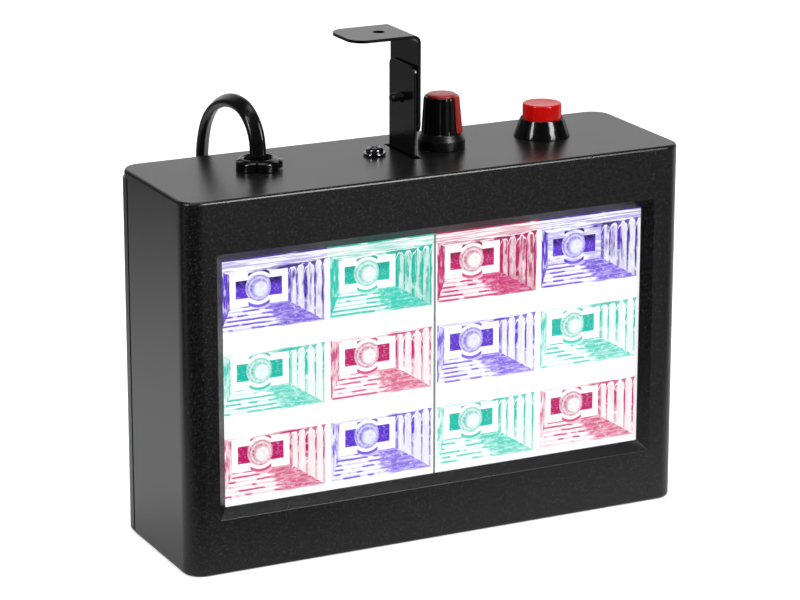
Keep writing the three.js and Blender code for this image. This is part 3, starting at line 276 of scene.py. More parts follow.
def grained(name, dark, pale, roughness, grain_mm, bump, specular=0.3, spread=0.1, metallic=0.0):
    """A moulded, painted or plated finish: colour from dark to pale on its grain, and bump."""
    material, nodes, links, shader = shader_nodes(name)
    texture = use_group(nodes, grain, Grain_size_mm=grain_mm).outputs
    colours = nodes.new("ShaderNodeMix")
    colours.data_type = "RGBA"
    colours.inputs["A"].default_value = (*dark, 1)
    colours.inputs["B"].default_value = (*pale, 1)
    links.new(texture["Specks"], colours.inputs["Factor"])
    links.new(colours.outputs["Result"], shader.inputs["Base Color"])
    wear = nodes.new("ShaderNodeMapRange")
    set_sockets(wear, To_Min=roughness - spread / 2, To_Max=roughness + spread / 2)
    links.new(texture["Clouds"], wear.inputs["Value"])
    links.new(wear.outputs["Result"], shader.inputs["Roughness"])
    raised = nodes.new("ShaderNodeBump")
    set_sockets(raised, Strength=bump, Distance=grain_mm * mm / 3)
    links.new(texture["Height"], raised.inputs["Height"])
    links.new(raised.outputs["Normal"], shader.inputs["Normal"])
    set_sockets(shader, Specular_IOR_Level=specular, Metallic=metallic)
    return material


lead_width = 5.2
lead_thickness = 3
lead_grip_azimuth = math.radians(-26.2)
lead_rest_height = 2.9
lead_route = [
    (-49.15, 4.4, 125.1), (-49.15, 4.4, 127.2), (-49.25, 4.8, 130.2), (-49.4, 6, 133.2), (-49.7, 8, 135.9),
    (-50, 10.7, 138), (-50.3, 14.1, 139.3), (-50.9, 19, 139.8), (-51.3, 23.8, 139.1), (-51.7, 28.2, 137.5),
    (-52.1, 32, 135.2), (-52.4, 35.2, 132.2), (-52.7, 37.6, 128.4), (-52.9, 39.2, 124), (-53, 40.2, 119),
    (-53, 40.5, 108), (-53, 40.5, 94), (-53, 40.5, 80), (-53, 40.5, 66), (-53, 40.5, 52), (-53, 40.5, 38),
    (-53, 40.5, 28), (-51.7, 41.9, 17), (-48, 45.9, 8.8), (-42.4, 51.8, 4.5), (-36.2, 58.4, 3.2),
    (-29.6, 65.2, 2.9), (-21.2, 74.6, 2.9), (-15, 81.6, 2.9), (-11.3, 85.9, 2.9),
]
coil_start = Vector((-7.6, 90.1, lead_rest_height))
coil_heading = math.radians(48.8)
coil_radius = 34.1
coil_turn_pitch = 3.8
coil_layer_pitch = 5.8
coil_turns = 121 / 24
coil_steps_per_turn = 72
plug_face = Vector((23.7, 107.5, 7))
tail_steps = 16
steps_between_points = 5
twist_steps = 40


def catmull_rom(points, steps):
    """The centripetal curve through the points, with that many steps between each pair."""
    points = [Vector(p) for p in points]
    points = [2 * points[0] - points[1], *points, 2 * points[-1] - points[-2]]
    curve = []
    for p0, p1, p2, p3 in zip(points, points[1:], points[2:], points[3:]):
        t1 = (p1 - p0).length ** 0.5
        t2 = t1 + (p2 - p1).length ** 0.5
        t3 = t2 + (p3 - p2).length ** 0.5
        for k in range(steps):
            t = t1 + (t2 - t1) * k / steps
            a1 = p0.lerp(p1, t / t1)
            a2 = p1.lerp(p2, (t - t1) / (t2 - t1))
            a3 = p2.lerp(p3, (t - t2) / (t3 - t2))
            b1 = a1.lerp(a2, t / t2)
            b2 = a2.lerp(a3, (t - t1) / (t3 - t1))
            curve.append(b1.lerp(b2, (t - t1) / (t2 - t1)))
    return [*curve, points[-2]]


start_angle = coil_heading + math.pi / 2
coil_centre = coil_start - coil_radius * Vector((math.cos(start_angle), math.sin(start_angle), 0))
coil_count = round(coil_turns * coil_steps_per_turn)
coil_route = []
for i in range(coil_count + 1):
    wound = (coil_count / 2 - abs(i - coil_count / 2)) / coil_steps_per_turn
    angle = start_angle - i * 2 * math.pi / coil_steps_per_turn
    radius = coil_radius - coil_turn_pitch * wound
    rise = min(max((i - coil_count / 2) / (coil_steps_per_turn / 2) + 0.5, 0), 1)
    rise = rise * rise * (3 - 2 * rise)
    offset = Vector((radius * math.cos(angle), radius * math.sin(angle), coil_layer_pitch * rise))
    coil_route.append(coil_centre + offset)
end_angle = start_angle - coil_turns * 2 * math.pi - math.pi / 2
plug_lead_in = plug_face - Vector((lead_width, 0, 0))
pull = (plug_lead_in - coil_route[-1]).length / 3
b0, b3 = coil_route[-1], plug_lead_in
b1 = b0 + pull * Vector((math.cos(end_angle), math.sin(end_angle), 0))
b2 = b3 - Vector((pull, 0, 0))
tail_route = []
for k in range(1, tail_steps + 1):
    t = k / tail_steps
    tail_route.append((1 - t) ** 3 * b0 + 3 * t * (1 - t) ** 2 * b1 + 3 * t * t * (1 - t) * b2 + t ** 3 * b3)
free_route = catmull_rom(lead_route, steps_between_points)
route = [*free_route, *coil_route, *tail_route, plug_face]

# The jacket's outline: a stadium with its wide side first
jacket_outline = []
cap_steps = 10
flat_half = (lead_width - lead_thickness) / 2
for side in (1, -1):
    for k in range(cap_steps + 1):
        a = math.pi * (k / cap_steps - 0.5)
        reach = flat_half + lead_thickness / 2 * math.cos(a)
        jacket_outline.append((side * reach, side * lead_thickness / 2 * math.sin(a)))

# The outline follows the route, flat side up in the strain relief and on edge in the coil
wide = Vector((math.cos(lead_grip_azimuth), math.sin(lead_grip_azimuth), 0))
jacket_rings = []
upright_from = len(free_route) - twist_steps
for i, point in enumerate(route):
    ahead = (route[min(i + 1, len(route) - 1)] - route[max(i - 1, 0)]).normalized()
    wide = (wide - ahead * wide.dot(ahead)).normalized()
    if i > upright_from:
        on_edge = (Vector((0, 0, 1)) - ahead * ahead.z).normalized()
        if wide.dot(on_edge) < 0:
            on_edge = -on_edge
        wide = wide.lerp(on_edge, min((i - upright_from) / twist_steps, 1)).normalized()
    across = ahead.cross(wide)
    jacket_rings.append([point + wide * w + across * t for w, t in jacket_outline])


def mesh_object(name, build, sharp_from=30):
    """A new object from a filled bmesh, smooth but for edges of more degrees than that."""
    mesh = bpy.data.meshes.new(name)
    build.to_mesh(mesh)
    build.free()
    if sharp_from:
        mesh.shade_smooth()
        mesh.set_sharp_from_angle(angle=math.radians(sharp_from))
    obj = bpy.data.objects.new(name, mesh)
    scene.collection.objects.link(obj)
    return obj


def add_rings(build, rings):
    """Skins a row of closed rings in the bmesh, in millimetres, with a face at each end."""
    rows = [[build.verts.new(Vector(p) * mm) for p in ring] for ring in rings]
    count = len(rows[0])
    for low, high in zip(rows, rows[1:]):
        for i in range(count):
            j = (i + 1) % count
            build.faces.new((low[i], low[j], high[j], high[i]))
    build.faces.new(rows[0][::-1])
    build.faces.new(rows[-1])


def skinned(name, *rows_of_rings, sharp_from=30):
    """A closed piece skinned over one or more rows of rings, its faces turned outwards."""
    build = bmesh.new()
    for rings in rows_of_rings:
        add_rings(build, rings)
    bmesh.ops.recalc_face_normals(build, faces=build.faces)
    return mesh_object(name, build, sharp_from)


def coat(piece, look):
    """Gives the whole piece one finish."""
    piece.data.materials.clear()
    piece.data.materials.append(look)


mains_lead = skinned("mains_lead", jacket_rings)
lead_jacket = grained("lead_jacket", (0.0015, 0.0015, 0.0017), (0.005, 0.005, 0.0055), 0.2, 0.9, 0.12,
                      specular=0.42, spread=0.1)
coat(mains_lead, lead_jacket)
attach(mains_lead, "case")
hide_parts("power_cord", "power_cord_coil")


# Plug: moulded on the lead's end in one piece with its ribbed relief, flat, with its
# shoulders and every edge rounded off so that it can be gripped.
plug_middle = Vector((24, 107.5, 7))
plug_stations = [
    (0, 7.2, 5.8), (0.5, 7.4, 6), (2.6, 7.6, 6.2), (2.8, 6.2, 4.9), (3.8, 6.2, 4.9), (4, 7.9, 6.5),
    (6.4, 8.3, 6.8), (6.6, 6.8, 5.4), (7.6, 6.8, 5.4), (7.8, 8.7, 7.1), (10.2, 9.1, 7.4), (10.4, 7.6, 6.1),
    (11.4, 7.6, 6.1), (11.6, 9.5, 7.7), (14, 9.9, 8), (14.2, 8.6, 7), (15.2, 8.6, 7), (15.4, 10.4, 8.3),
    (18, 11.2, 9), (20, 13, 10.2), (23, 17, 11.8), (27, 23.6, 13), (31, 30.4, 13.5), (34, 34, 13.7),
    (37, 35, 13.7), (47.6, 35, 13.7), (49.2, 34.4, 13.2), (49.85, 33, 12), (50, 31, 10.4),
]
oval_steps = 44
oval_power = 3.4


def oval_ring(centre, width, height):
    """A rounded section across X, between an oval and a rectangle."""
    ring = []
    for k in range(oval_steps):
        a = 2 * math.pi * k / oval_steps
        c, s = math.cos(a), math.sin(a)
        y = math.copysign(abs(c) ** (2 / oval_power), c) * width / 2
        z = math.copysign(abs(s) ** (2 / oval_power), s) * height / 2
        ring.append((centre.x, centre.y + y, centre.z + z))
    return ring


plug_rings = [oval_ring(plug_middle + Vector((x, 0, 0)), w, h) for x, w, h in plug_stations]
plug_moulding = skinned("plug_moulding", plug_rings, sharp_from=34)
coat(plug_moulding, lead_jacket)
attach(plug_moulding, "case")
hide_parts("plug_body")

# The two pins are turned from nickelled brass and moulded in
pin_look = grained("pin_metal", (0.55, 0.5, 0.4), (0.72, 0.66, 0.52), 0.26, 1.2, 0.06, metallic=1.0)
pin_root, pin_from_middle = 44, 9.3
pin_steps = 28
pin_profile = [(0, 1.9), (6, 1.9), (6, 1.85), (15.6, 1.85), (15.8, 2), (23.8, 2), (24.5, 1.75), (24.9, 1.2),
               (25, 0.5)]


def turned_rings(axis_point, profile, steps, turn_to):
    """Rings of a turned piece: profile of (height along the axis, radius), placed by turn_to."""
    return [[axis_point + turn_to @ Vector((r * math.cos(2 * math.pi * k / steps),
                                            r * math.sin(2 * math.pi * k / steps), h))
             for k in range(steps)] for h, r in profile]


across_x = Matrix.Rotation(math.pi / 2, 3, "Y")
for name, side in (("plug_pin_near", -1), ("plug_pin_far", 1)):
    root = plug_middle + Vector((pin_root, side * pin_from_middle, 0))
    pin = skinned(name + "_turned", turned_rings(root, pin_profile, pin_steps, across_x))
    coat(pin, pin_look)
    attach(pin, "case")
    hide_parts(name)


# Strain relief: a two-part nylon bushing snapped into the top, with a slot for the flat
# lead, a split down its front and a clamp block that is driven in from the side.
relief_place = Vector((-49.15, 4.4, 121))
relief_turn = Matrix.Rotation(lead_grip_azimuth, 3, "Z")
upright = Matrix.Identity(3)
relief_look = grained("gloss_black", (0.0008, 0.0008, 0.001), (0.003, 0.003, 0.0033), 0.14, 2.5, 0.08,
                      specular=0.5, spread=0.1)
relief_head = [
    (-11.5, 5.3), (-11, 5.9), (0.1, 5.9), (0.1, 7), (0.25, 7.1), (2.3, 7.08), (2.6, 7), (2.85, 6.82), (3.05, 6.5),
    (3.5, 5.6), (3.62, 5.3), (3.6, 4.95), (3.2, 4.5), (2.2, 4.2), (1.2, 4.1), (1, 3.9),
]
relief_steps = 180
squareness, head_share = 2.5, 0.985
split_half_angle = math.radians(4)
split_depth, split_from = 0.35, 0.2
slot_play, slot_low, slot_high = 0.3, -14, 6
clamp_pocket = ((5.6, -2.5, 0.4), (9.3, 2.5, 3))
lead_stub = (-5, -0.02)


def box_rings(low, high):
    """The lower and the upper ring of a box between two corners."""
    (x0, y0, z0), (x1, y1, z1) = low, high
    return [[Vector((x, y, z)) for x, y in ((x0, y0), (x1, y0), (x1, y1), (x0, y1))] for z in (z0, z1)]


def box_cutter(low, high, turn=upright, about=Vector((0, 0, 0))):
    """A closed box between two corners, in millimetres, to cut with."""
    rings = [[about + turn @ corner for corner in ring] for ring in box_rings(low, high)]
    return skinned("cutter", rings, sharp_from=0)


def settle(piece):
    """Turns the piece's modifiers into plain mesh and keeps its materials."""
    graph = bpy.context.evaluated_depsgraph_get()
    mesh = bpy.data.meshes.new_from_object(
        piece.evaluated_get(graph), preserve_all_data_layers=True, depsgraph=graph)
    piece.modifiers.clear()
    piece.data = mesh


def carve(piece, *cutters):
    """Cuts the closed cutters out of the piece and clears them away."""
    for cutter in cutters:
        modifier = piece.modifiers.new("cut", "BOOLEAN")
        modifier.operation = "DIFFERENCE"
        modifier.solver = "EXACT"
        modifier.object = cutter
    settle(piece)
    for cutter in cutters:
        bpy.data.objects.remove(cutter)


def add_to(piece, *rows_of_rings):
    """Adds closed solids, each from a row of rings, to a finished piece."""
    build = bmesh.new()
    build.from_mesh(piece.data)
    for rings in rows_of_rings:
        add_rings(build, rings)
    bmesh.ops.recalc_face_normals(build, faces=build.faces)
    build.to_mesh(piece.data)
    build.free()


def ease_edges(piece, width, angle):
    """Rounds edges sharper than the angle by width, in millimetres, and evens the shading."""
    bevel = piece.modifiers.new("eased", "BEVEL")
    bevel.width = width * mm
    bevel.segments = 2
    bevel.limit_method = "ANGLE"
    bevel.angle_limit = math.radians(angle)
    bevel.miter_outer = "MITER_ARC"
    piece.data.shade_smooth()
    even = piece.modifiers.new("even", "WEIGHTED_NORMAL")
    even.keep_sharp = True
    settle(piece)


def squared(angle):
    """How far a square with well-rounded corners reaches in one direction, for a half width of 1."""
    return (abs(math.cos(angle)) ** squareness + abs(math.sin(angle)) ** squareness) ** (-1 / squareness)


rings = []
for height, radius in relief_head:
    ring = []
    for k in range(relief_steps):
        a = 2 * math.pi * k / relief_steps
        reach = radius * squared(a) * head_share if height > 0 else radius
        off = min(abs(a - 1.5 * math.pi), abs(a - 0.5 * math.pi))
        if height > split_from and off < split_half_angle:
            reach -= split_depth * (1 - math.cos(2 * math.pi * off / split_half_angle)) / 2
        ring.append(relief_place + relief_turn @ Vector((reach * math.cos(a), reach * math.sin(a), height)))
    rings.append(ring)
relief = skinned("strain_relief_moulding", rings)
slot_x, slot_y = lead_width / 2 + slot_play, lead_thickness / 2 + slot_play
carve(relief, box_cutter((-slot_x, -slot_y, slot_low), (slot_x, slot_y, slot_high), relief_turn, relief_place),
      box_cutter(*clamp_pocket, relief_turn, relief_place))

# The jacket goes on through the slot, so a stub of it stands in the head
add_to(relief, [[spot + Vector((0, 0, drop)) for spot in jacket_rings[0]] for drop in lead_stub])
coat(relief, relief_look)
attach(relief, "case")
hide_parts("strain_relief_body")

clamp_root, clamp_end, clamp_half, clamp_nose, nose_steps = 5.8, 7.3, 2.2, 0.6, 10
clamp_outline = [(clamp_root, -clamp_half), (clamp_end, -clamp_half)]
for k in range(1, nose_steps):
    a = math.pi * k / nose_steps
    clamp_outline.append((clamp_end + clamp_nose * math.sin(a), -clamp_half * math.cos(a)))
clamp_outline += [(clamp_end, clamp_half), (clamp_root, clamp_half)]
clamp_levels = [(0.7, 1), (2.6, 1), (2.78, 0.97), (2.88, 0.9)]
clamp = skinned("strain_relief_block", [
    [relief_place + relief_turn @ Vector((clamp_root + (x - clamp_root) * share, y * share, z))
     for x, y in clamp_outline] for z, share in clamp_levels])
coat(clamp, relief_look)
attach(clamp, "case")
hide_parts("strain_relief_clamp")


# Front case: one black moulding with a fine spark-eroded grain, rounded upright corners,
# a window with a sloping rim, and the holes for what stands on top.
case_width, case_depth, case_height = 175, 54, 121
case_wall, case_front_wall = 2.5, 3.5
front_radius, rear_radius, cover_radius = 6.3, 6.8, 5
case_edge, back_edge = 1.1, 0.3
corner_steps, edge_steps = 14, 5
overrun = 4
seam_y, cover_y = 19, 19.9
window_width, window_height, window_middle = 148, 80, 61
window_slope, rim_overrun = 3, 2
control_line = 4.3
fixing_x, knob_x, button_x = -8.5, 15.45, 52.2
hole_low, hole_high = 110, 124
top_holes = [(6.2, relief_place.x, relief_place.y), (1.8, fixing_x, control_line), (3.8, knob_x, control_line),
             (6.2, button_x, control_line)]
slot_from, slot_to, slot_reach = 0.2, 3, 11.25
screw_places = [(x, z) for x in (-78.5, 78.5) for z in (8.5, 112.5)]
post_profile = [(0, 3.3), (45.2, 3.3), (45.2, 1.8), (34, 1.8)]
post_root, post_steps = 3, 24


def case_ring(z, inset, at_back=0.0, back_radius=rear_radius):
    """The case's outline at one height, drawn in by inset, and by at_back along the rear."""
    corners = [(1, -1, front_radius, -math.pi / 2), (1, 1, back_radius, 0),
               (-1, 1, back_radius, math.pi / 2), (-1, -1, front_radius, math.pi)]
    ring = []
    for sx, sy, radius, start in corners:
        centre = Vector((sx * (case_width / 2 - radius), sy * (case_depth / 2 - radius), z))
        for k in range(corner_steps + 1):
            a = start + math.pi / 2 * k / corner_steps
            drawn_in = inset + (at_back - inset) * max(math.sin(a), 0) if at_back else inset
            ring.append(centre + (radius - drawn_in) * Vector((math.cos(a), math.sin(a), 0)))
    return ring


def rod_cutter(radius, low, high, x, y, steps=48, turn=upright, z=0):
    """A closed cylinder to cut with, upright or turned."""
    rings = turned_rings(Vector((x, y, z)), [(low, radius), (high, radius)], steps, turn)
    return skinned("cutter", rings, sharp_from=0)


rings = []
for at_top in (False, True):
    for k in range(edge_steps + 1):
        a = math.pi / 2 * (k if at_top else edge_steps - k) / edge_steps
        height = case_edge * (1 - math.sin(a))
        drawn_in = 1 - math.cos(a)
        rings.append(case_ring(case_height - height if at_top else height, case_edge * drawn_in,
                               max(back_edge * drawn_in, 0.001)))
front_case = skinned("front_case_moulding", rings, sharp_from=40)

inside_x, inside_z = case_width / 2 - case_wall, case_height - case_wall
front_y, rear_y = -case_depth / 2, case_depth / 2
window_low, window_high = window_middle - window_height / 2, window_middle + window_height / 2
rim_rings = []
for reach, y in ((0, front_y + window_slope), (window_slope + rim_overrun, front_y - rim_overrun)):
    w, h = window_width / 2 + reach, window_height / 2 + reach
    rim_rings.append([(-w, y, window_middle - h), (w, y, window_middle - h), (w, y, window_middle + h),
                      (-w, y, window_middle + h)])
carve(front_case,
      box_cutter((-inside_x, front_y + case_front_wall, case_wall), (inside_x, rear_y + overrun, inside_z)),
      box_cutter((-case_width, seam_y, -overrun), (case_width, rear_y + overrun, inside_z)),
      skinned("cutter", rim_rings, sharp_from=0),
      box_cutter((-window_width / 2, front_y - overrun, window_low),
                 (window_width / 2, front_y + case_front_wall + overrun, window_high)),
      *[rod_cutter(radius, hole_low, hole_high, x, y) for radius, x, y in top_holes],
      box_cutter((slot_from, control_line - slot_reach, hole_low), (slot_to, control_line + slot_reach, hole_high)))
ease_edges(front_case, 0.3, 38)

# Four posts inside, from the front wall to the rear cover, bored for its screws
to_rear = Matrix.Rotation(-math.pi / 2, 3, "X")
add_to(front_case, *[turned_rings(Vector((x, front_y + post_root, z)), post_profile, post_steps, to_rear)
                     for x, z in screw_places])
# Pale specks on the raised grain: partly the moulding's own grain tone, partly painted glints for its sparkle
case_look = grained("case_plastic", (0.0018, 0.0018, 0.0019), (0.0245, 0.0245, 0.025), 0.25, 0.46, 0.22,
                    specular=0.5, spread=0.04)
coat(front_case, case_look)
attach(front_case, "case")
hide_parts("front_housing")


# Rear cover: the same plastic, a plate that wraps round both rear corners and meets the
# front case in a fine seam, held by four flush screws.
cover_low, cover_high = 0.3, 118.2
cover_levels = [(cover_low, 0.8), (cover_low + 0.2, 0.35), (cover_low + 0.6, 0.06), (cover_low + 0.8, 0),
                (cover_high, 0)]
lip_inset, seam_gap = 0.9, 0.3
sink_radius, sink_depth, sink_steps = 3.2, 2.1, 32
rear_cover = skinned("rear_cover_moulding", [
    case_ring(z, drawn_in, back_radius=cover_radius) for z, drawn_in in cover_levels], sharp_from=40)
cover_inside = rear_y - case_wall
carve(rear_cover,
      box_cutter((-case_width, -case_depth, -overrun), (case_width, cover_y, case_height)),
      box_cutter((-inside_x, 0, case_wall), (inside_x, cover_inside, case_height + overrun)),
      *[rod_cutter(sink_radius, -sink_depth, 3, x, rear_y, sink_steps, to_rear, z) for x, z in screw_places])

# A lip inside each edge of the cover reaches forward into the front case
lip_x, lip_low, lip_high = case_width / 2 - lip_inset, cover_low + lip_inset, cover_high - lip_inset
add_to(rear_cover, *[
    box_rings((x0, seam_y + seam_gap, lip_low), (x1, cover_y, z1))
    for x0, x1, z1 in ((-lip_x, -inside_x, lip_high), (inside_x, lip_x, lip_high), (-inside_x, inside_x, case_wall))])
ease_edges(rear_cover, 0.25, 38)
coat(rear_cover, case_look)
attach(rear_cover, "case")
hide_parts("rear_cover")


# Cover screws: countersunk, blackened steel with a cross recess, driven into the posts.
# One is made and set out two by two, by the tree that sets out every row of like pieces.
steel_dark = grained("blackened_steel", (0.012, 0.012, 0.013), (0.04, 0.04, 0.042), 0.34, 0.8, 0.15,
                     metallic=0.7, specular=0.5, spread=0.16)
screw_pitch_x, screw_pitch_z, screws_middle = 157, 104, Vector((0, 26.8, 60.5))
head_profile = [(-10.7, 1), (-10.2, 1.5), (-1.6, 1.5), (0, 2.9), (0.05, 2.75), (0.1, 0.5)]
screw_steps = 28
recess_half, recess_width = 1.5, 0.32
screw_pattern = skinned("cover_screw_pattern", turned_rings(Vector((0, 0, 0)), head_profile, screw_steps, to_rear),
                        sharp_from=32)
carve(screw_pattern, *[box_cutter((-x, -1.1, -z), (x, 1, z))
                       for x, z in ((recess_half, recess_width), (recess_width, recess_half))])


def same(a, b, within):
    """1 where two values are no further apart than that, and 0 elsewhere."""
    value = count_node("COMPARE", a, b)
    value.node.inputs[2].default_value = within
    return value


setting_out = bpy.data.node_groups.new("set_out_in_rows", "GeometryNodeTree")
setting_out.interface.new_socket("Geometry", in_out="INPUT", socket_type="NodeSocketGeometry")
row_sockets = {}
for label, kind, value in [
    ("Piece", "Object", None), ("Columns", "Int", 2), ("Rows", "Int", 2), ("Column pitch", "Float", 0.1),
    ("Row pitch", "Float", 0.1), ("Middle", "Vector", (0, 0, 0)), ("One in", "Int", 1), ("Starting at", "Int", 0),
    ("Finish", "Material", None),
]:
    socket = setting_out.interface.new_socket(label, in_out="INPUT", socket_type="NodeSocket" + kind)
    if value is not None:
        socket.default_value = value
    row_sockets[label] = socket.identifier
setting_out.interface.new_socket("Geometry", in_out="OUTPUT", socket_type="NodeSocketGeometry")
nodes, links = setting_out.nodes, setting_out.links
given = nodes.new("NodeGroupInput")
result = nodes.new("NodeGroupOutput")

grid = nodes.new("GeometryNodeMeshGrid")
links.new(given.outputs["Columns"], grid.inputs["Vertices X"])
links.new(given.outputs["Rows"], grid.inputs["Vertices Y"])
for pitch, count, size in (("Column pitch", "Columns", "Size X"), ("Row pitch", "Rows", "Size Y")):
    spread = times(given.outputs[pitch], count_node("SUBTRACT", given.outputs[count], 1))
    links.new(spread, grid.inputs[size])
stand = nodes.new("GeometryNodeTransform")
stand.inputs["Rotation"].default_value = (math.pi / 2, 0, 0)
links.new(grid.outputs["Mesh"], stand.inputs["Geometry"])
links.new(given.outputs["Middle"], stand.inputs["Translation"])
index = nodes.new("GeometryNodeInputIndex").outputs[0]
column = count_node("FLOOR", count_node("DIVIDE", index, given.outputs["Rows"]))
row_up = count_node("FLOORED_MODULO", index, given.outputs["Rows"])
row_down = count_node("SUBTRACT", count_node("SUBTRACT", given.outputs["Rows"], 1), row_up)
turn_taken = count_node("FLOORED_MODULO", plus(column, row_down), given.outputs["One in"])
chosen = same(turn_taken, given.outputs["Starting at"], 0.1)
pattern = nodes.new("GeometryNodeObjectInfo")
links.new(given.outputs["Piece"], pattern.inputs["Object"])
placed = nodes.new("GeometryNodeInstanceOnPoints")
links.new(stand.outputs["Geometry"], placed.inputs["Points"])
links.new(chosen, placed.inputs["Selection"])
links.new(pattern.outputs["Geometry"], placed.inputs["Instance"])
real = nodes.new("GeometryNodeRealizeInstances")
links.new(placed.outputs["Instances"], real.inputs["Geometry"])
finish = nodes.new("GeometryNodeSetMaterial")
links.new(real.outputs["Geometry"], finish.inputs["Geometry"])
links.new(given.outputs["Finish"], finish.inputs["Material"])
links.new(finish.outputs["Geometry"], result.inputs["Geometry"])


def set_out(name, pattern, **sizes):
    """The pattern piece set out in rows and columns as one new piece."""
    piece = bpy.data.objects.new(name, bpy.data.meshes.new(name))
    scene.collection.objects.link(piece)
    modifier = piece.modifiers.new("rows", "NODES")
    modifier.node_group = setting_out
    modifier[row_sockets["Piece"]] = pattern
    for key, value in sizes.items():
        modifier[row_sockets[key.replace("_", " ")]] = value
    settle(piece)
    return piece


cover_screws = set_out("rear_cover_screws", screw_pattern, Column_pitch=screw_pitch_x * mm,
                       Row_pitch=screw_pitch_z * mm, Middle=screws_middle * mm, Finish=steel_dark)
bpy.data.objects.remove(screw_pattern)
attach(cover_screws, "case")
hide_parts(*[f"rear_cover_screw_{i}" for i in (1, 2, 3, 4)])


# Reflectors: two metallised mouldings side by side, each with two by three stepped and
# fluted cups. The purple, teal and crimson light of the emitters in them is painted on as a glow of colour, highlight
# and shade.
column_pitch, row_pitch, middle_row = 37.5, 27.2, 59.8
mouth_size = (36.8, 21.2)
cup_floor_size = (20, 11)
cup_front, cup_floor, cup_back = -21.4, -10.9, -9.8
cup_depth = cup_floor - cup_front
flutes, side_flutes = 6, 4.4
flute_rise, flute_parts = 0.55, (1, 0.86, 0.62, 0.34, 0.1)
ripple, ripple_points = 0.05, 6.5
ring_pocket_radius, lens_seat_radius = 6.4, 4.5
board_slot = (7.9, 2.9)
side_steps = (26, 16)
# The emitters' three colours of light, painted on the cups and the board too; the deep ones are their painted shade
purple, teal, crimson = (0.12, 0.03, 0.66), (0.001, 0.55, 0.43), (0.56, 0.004, 0.15)
deep_purple, deep_teal, deep_crimson = (0.008, 0.001, 0.07), (0.0, 0.38, 0.29), (0.26, 0.0, 0.06)


def rectangle_ring(width, height, y, swing=0.0, phase=0.0):
    """A rectangle across Y with points along its sides, which may be rippled."""
    ring = []
    sides = [(-1, -1, 1, 0), (1, -1, 0, 1), (1, 1, -1, 0), (-1, 1, 0, -1)]
    for (x, z, dx, dz), steps in zip(sides, side_steps * 2):
        for k in range(steps):
            share = k / steps
            wave = swing * math.sin(phase + share * 2 * math.pi * steps / ripple_points)
            wave *= min(1, 4 * share, 4 * (1 - share))
            ring.append((width / 2 * (x + 2 * dx * share) + dz * wave, y,
                         height / 2 * (z + 2 * dz * share) - dx * wave))
    return ring


def cup_size(share):
    """Width and height of a cup at a share of the way from its floor to its mouth."""
    return [f + (m - f) * share for f, m in zip(cup_floor_size, mouth_size)]


rings = [rectangle_ring(column_pitch, row_pitch, cup_back), rectangle_ring(column_pitch, row_pitch, cup_front),
         rectangle_ring(*mouth_size, cup_front)]
for k in reversed(range(flutes)):
    for part in flute_parts:
        share = (k + part) / flutes
        bulge = flute_rise * math.sin(part * math.pi / 2) ** 1.5
        width, height = (size - 2 * bulge for size in cup_size(share))
        rings.append(rectangle_ring(width, height, cup_floor - cup_depth * share, ripple, k * 2.1 + part * 0.6))
rings.append(rectangle_ring(*cup_floor_size, cup_floor))
cup_pattern = skinned("cup_pattern", rings, sharp_from=0)
carve(cup_pattern,
      rod_cutter(ring_pocket_radius, -0.001, -5.2, 0, cup_floor, 64, to_rear),
      box_cutter((-board_slot[0], -14, -board_slot[1]), (board_slot[0], -6, board_slot[1])),
      rod_cutter(lens_seat_radius, -3, 6, 0, cup_floor, 64, to_rear))

# Each corner keeps which wall it is on, how far along that wall, and how far up the cup
mesh = cup_pattern.data
wall = mesh.attributes.new("wall", "FLOAT_VECTOR", "CORNER")
land, lower, right_hand, upper, left_hand, base, pocket = range(7)


def half_size(rise):
    """Half the width and half the height of a cup, at a height that may lie past its ends."""
    return [size / 2 for size in cup_size(min(max(rise, 0), 1))]


for face in mesh.polygons:
    spot = face.center / mm
    rise = (cup_floor - spot.y) / cup_depth
    half = half_size(rise)
    radius = math.hypot(spot.x, spot.z)
    if rise < -0.01 or abs(radius - ring_pocket_radius) < 0.12 and rise < 0.5 and abs(face.normal.y) < 0.3:
        kind = pocket
    elif face.normal.y < -0.95 and rise < 0.01:
        kind = base if abs(spot.z) < 5.5 else pocket
    elif rise > 0.99 or abs(spot.x) > mouth_size[0] / 2 or abs(spot.z) > mouth_size[1] / 2:
        kind = land
    elif abs(spot.x) / half[0] > abs(spot.z) / half[1]:
        kind = right_hand if spot.x > 0 else left_hand
    else:
        kind = upper if spot.z > 0 else lower
    for loop in face.loop_indices:
        corner = mesh.vertices[mesh.loops[loop].vertex_index].co / mm
        rise = (cup_floor - corner.y) / cup_depth
        half = half_size(rise)
        along = corner.z / half[1] if kind in (right_hand, left_hand) else corner.x / half[0]
        wall.data[loop].vector = (kind, along / 2 + 0.5, rise)
mesh.shade_smooth()
mesh.set_sharp_from_angle(angle=math.radians(38))

# The painted light of each cup: which colour by its row and column, and where in the cup
light, _, light_out = make_group("cup_light", [], [
    ("Tint", "Color"), ("Deep", "Color"), ("Top row", "Float"), ("Across", "Float"), ("Up", "Float"),
    ("Dimmed", "Float"), ("Strong", "Float")])
nodes, links = light.nodes, light.links
x, y, z = split_axes()
across_cells = count_node("DIVIDE", x, column_pitch * mm)
up_cells = count_node("DIVIDE", count_node("SUBTRACT", z, (middle_row - 1.5 * row_pitch) * mm), row_pitch * mm)
column, row_up = count_node("FLOOR", across_cells), count_node("FLOOR", up_cells)
which = count_node("FLOORED_MODULO", count_node("SUBTRACT", plus(column, 16), row_up), 3)
is_purple, is_teal = same(which, 0, 0.2), same(which, 1, 0.2)


def pick(factor, a, b):
    """A colour Mix node in the tree being built: a where factor is 0, b where it is 1."""
    node = nodes.new("ShaderNodeMix")
    node.data_type = "RGBA"
    for socket, value in zip((node.inputs["Factor"], node.inputs["A"], node.inputs["B"]), (factor, a, b)):
        if isinstance(value, bpy.types.NodeSocket):
            links.new(value, socket)
        else:
            socket.default_value = (*value[:3], 1) if isinstance(value, tuple) else value
    return node.outputs["Result"]


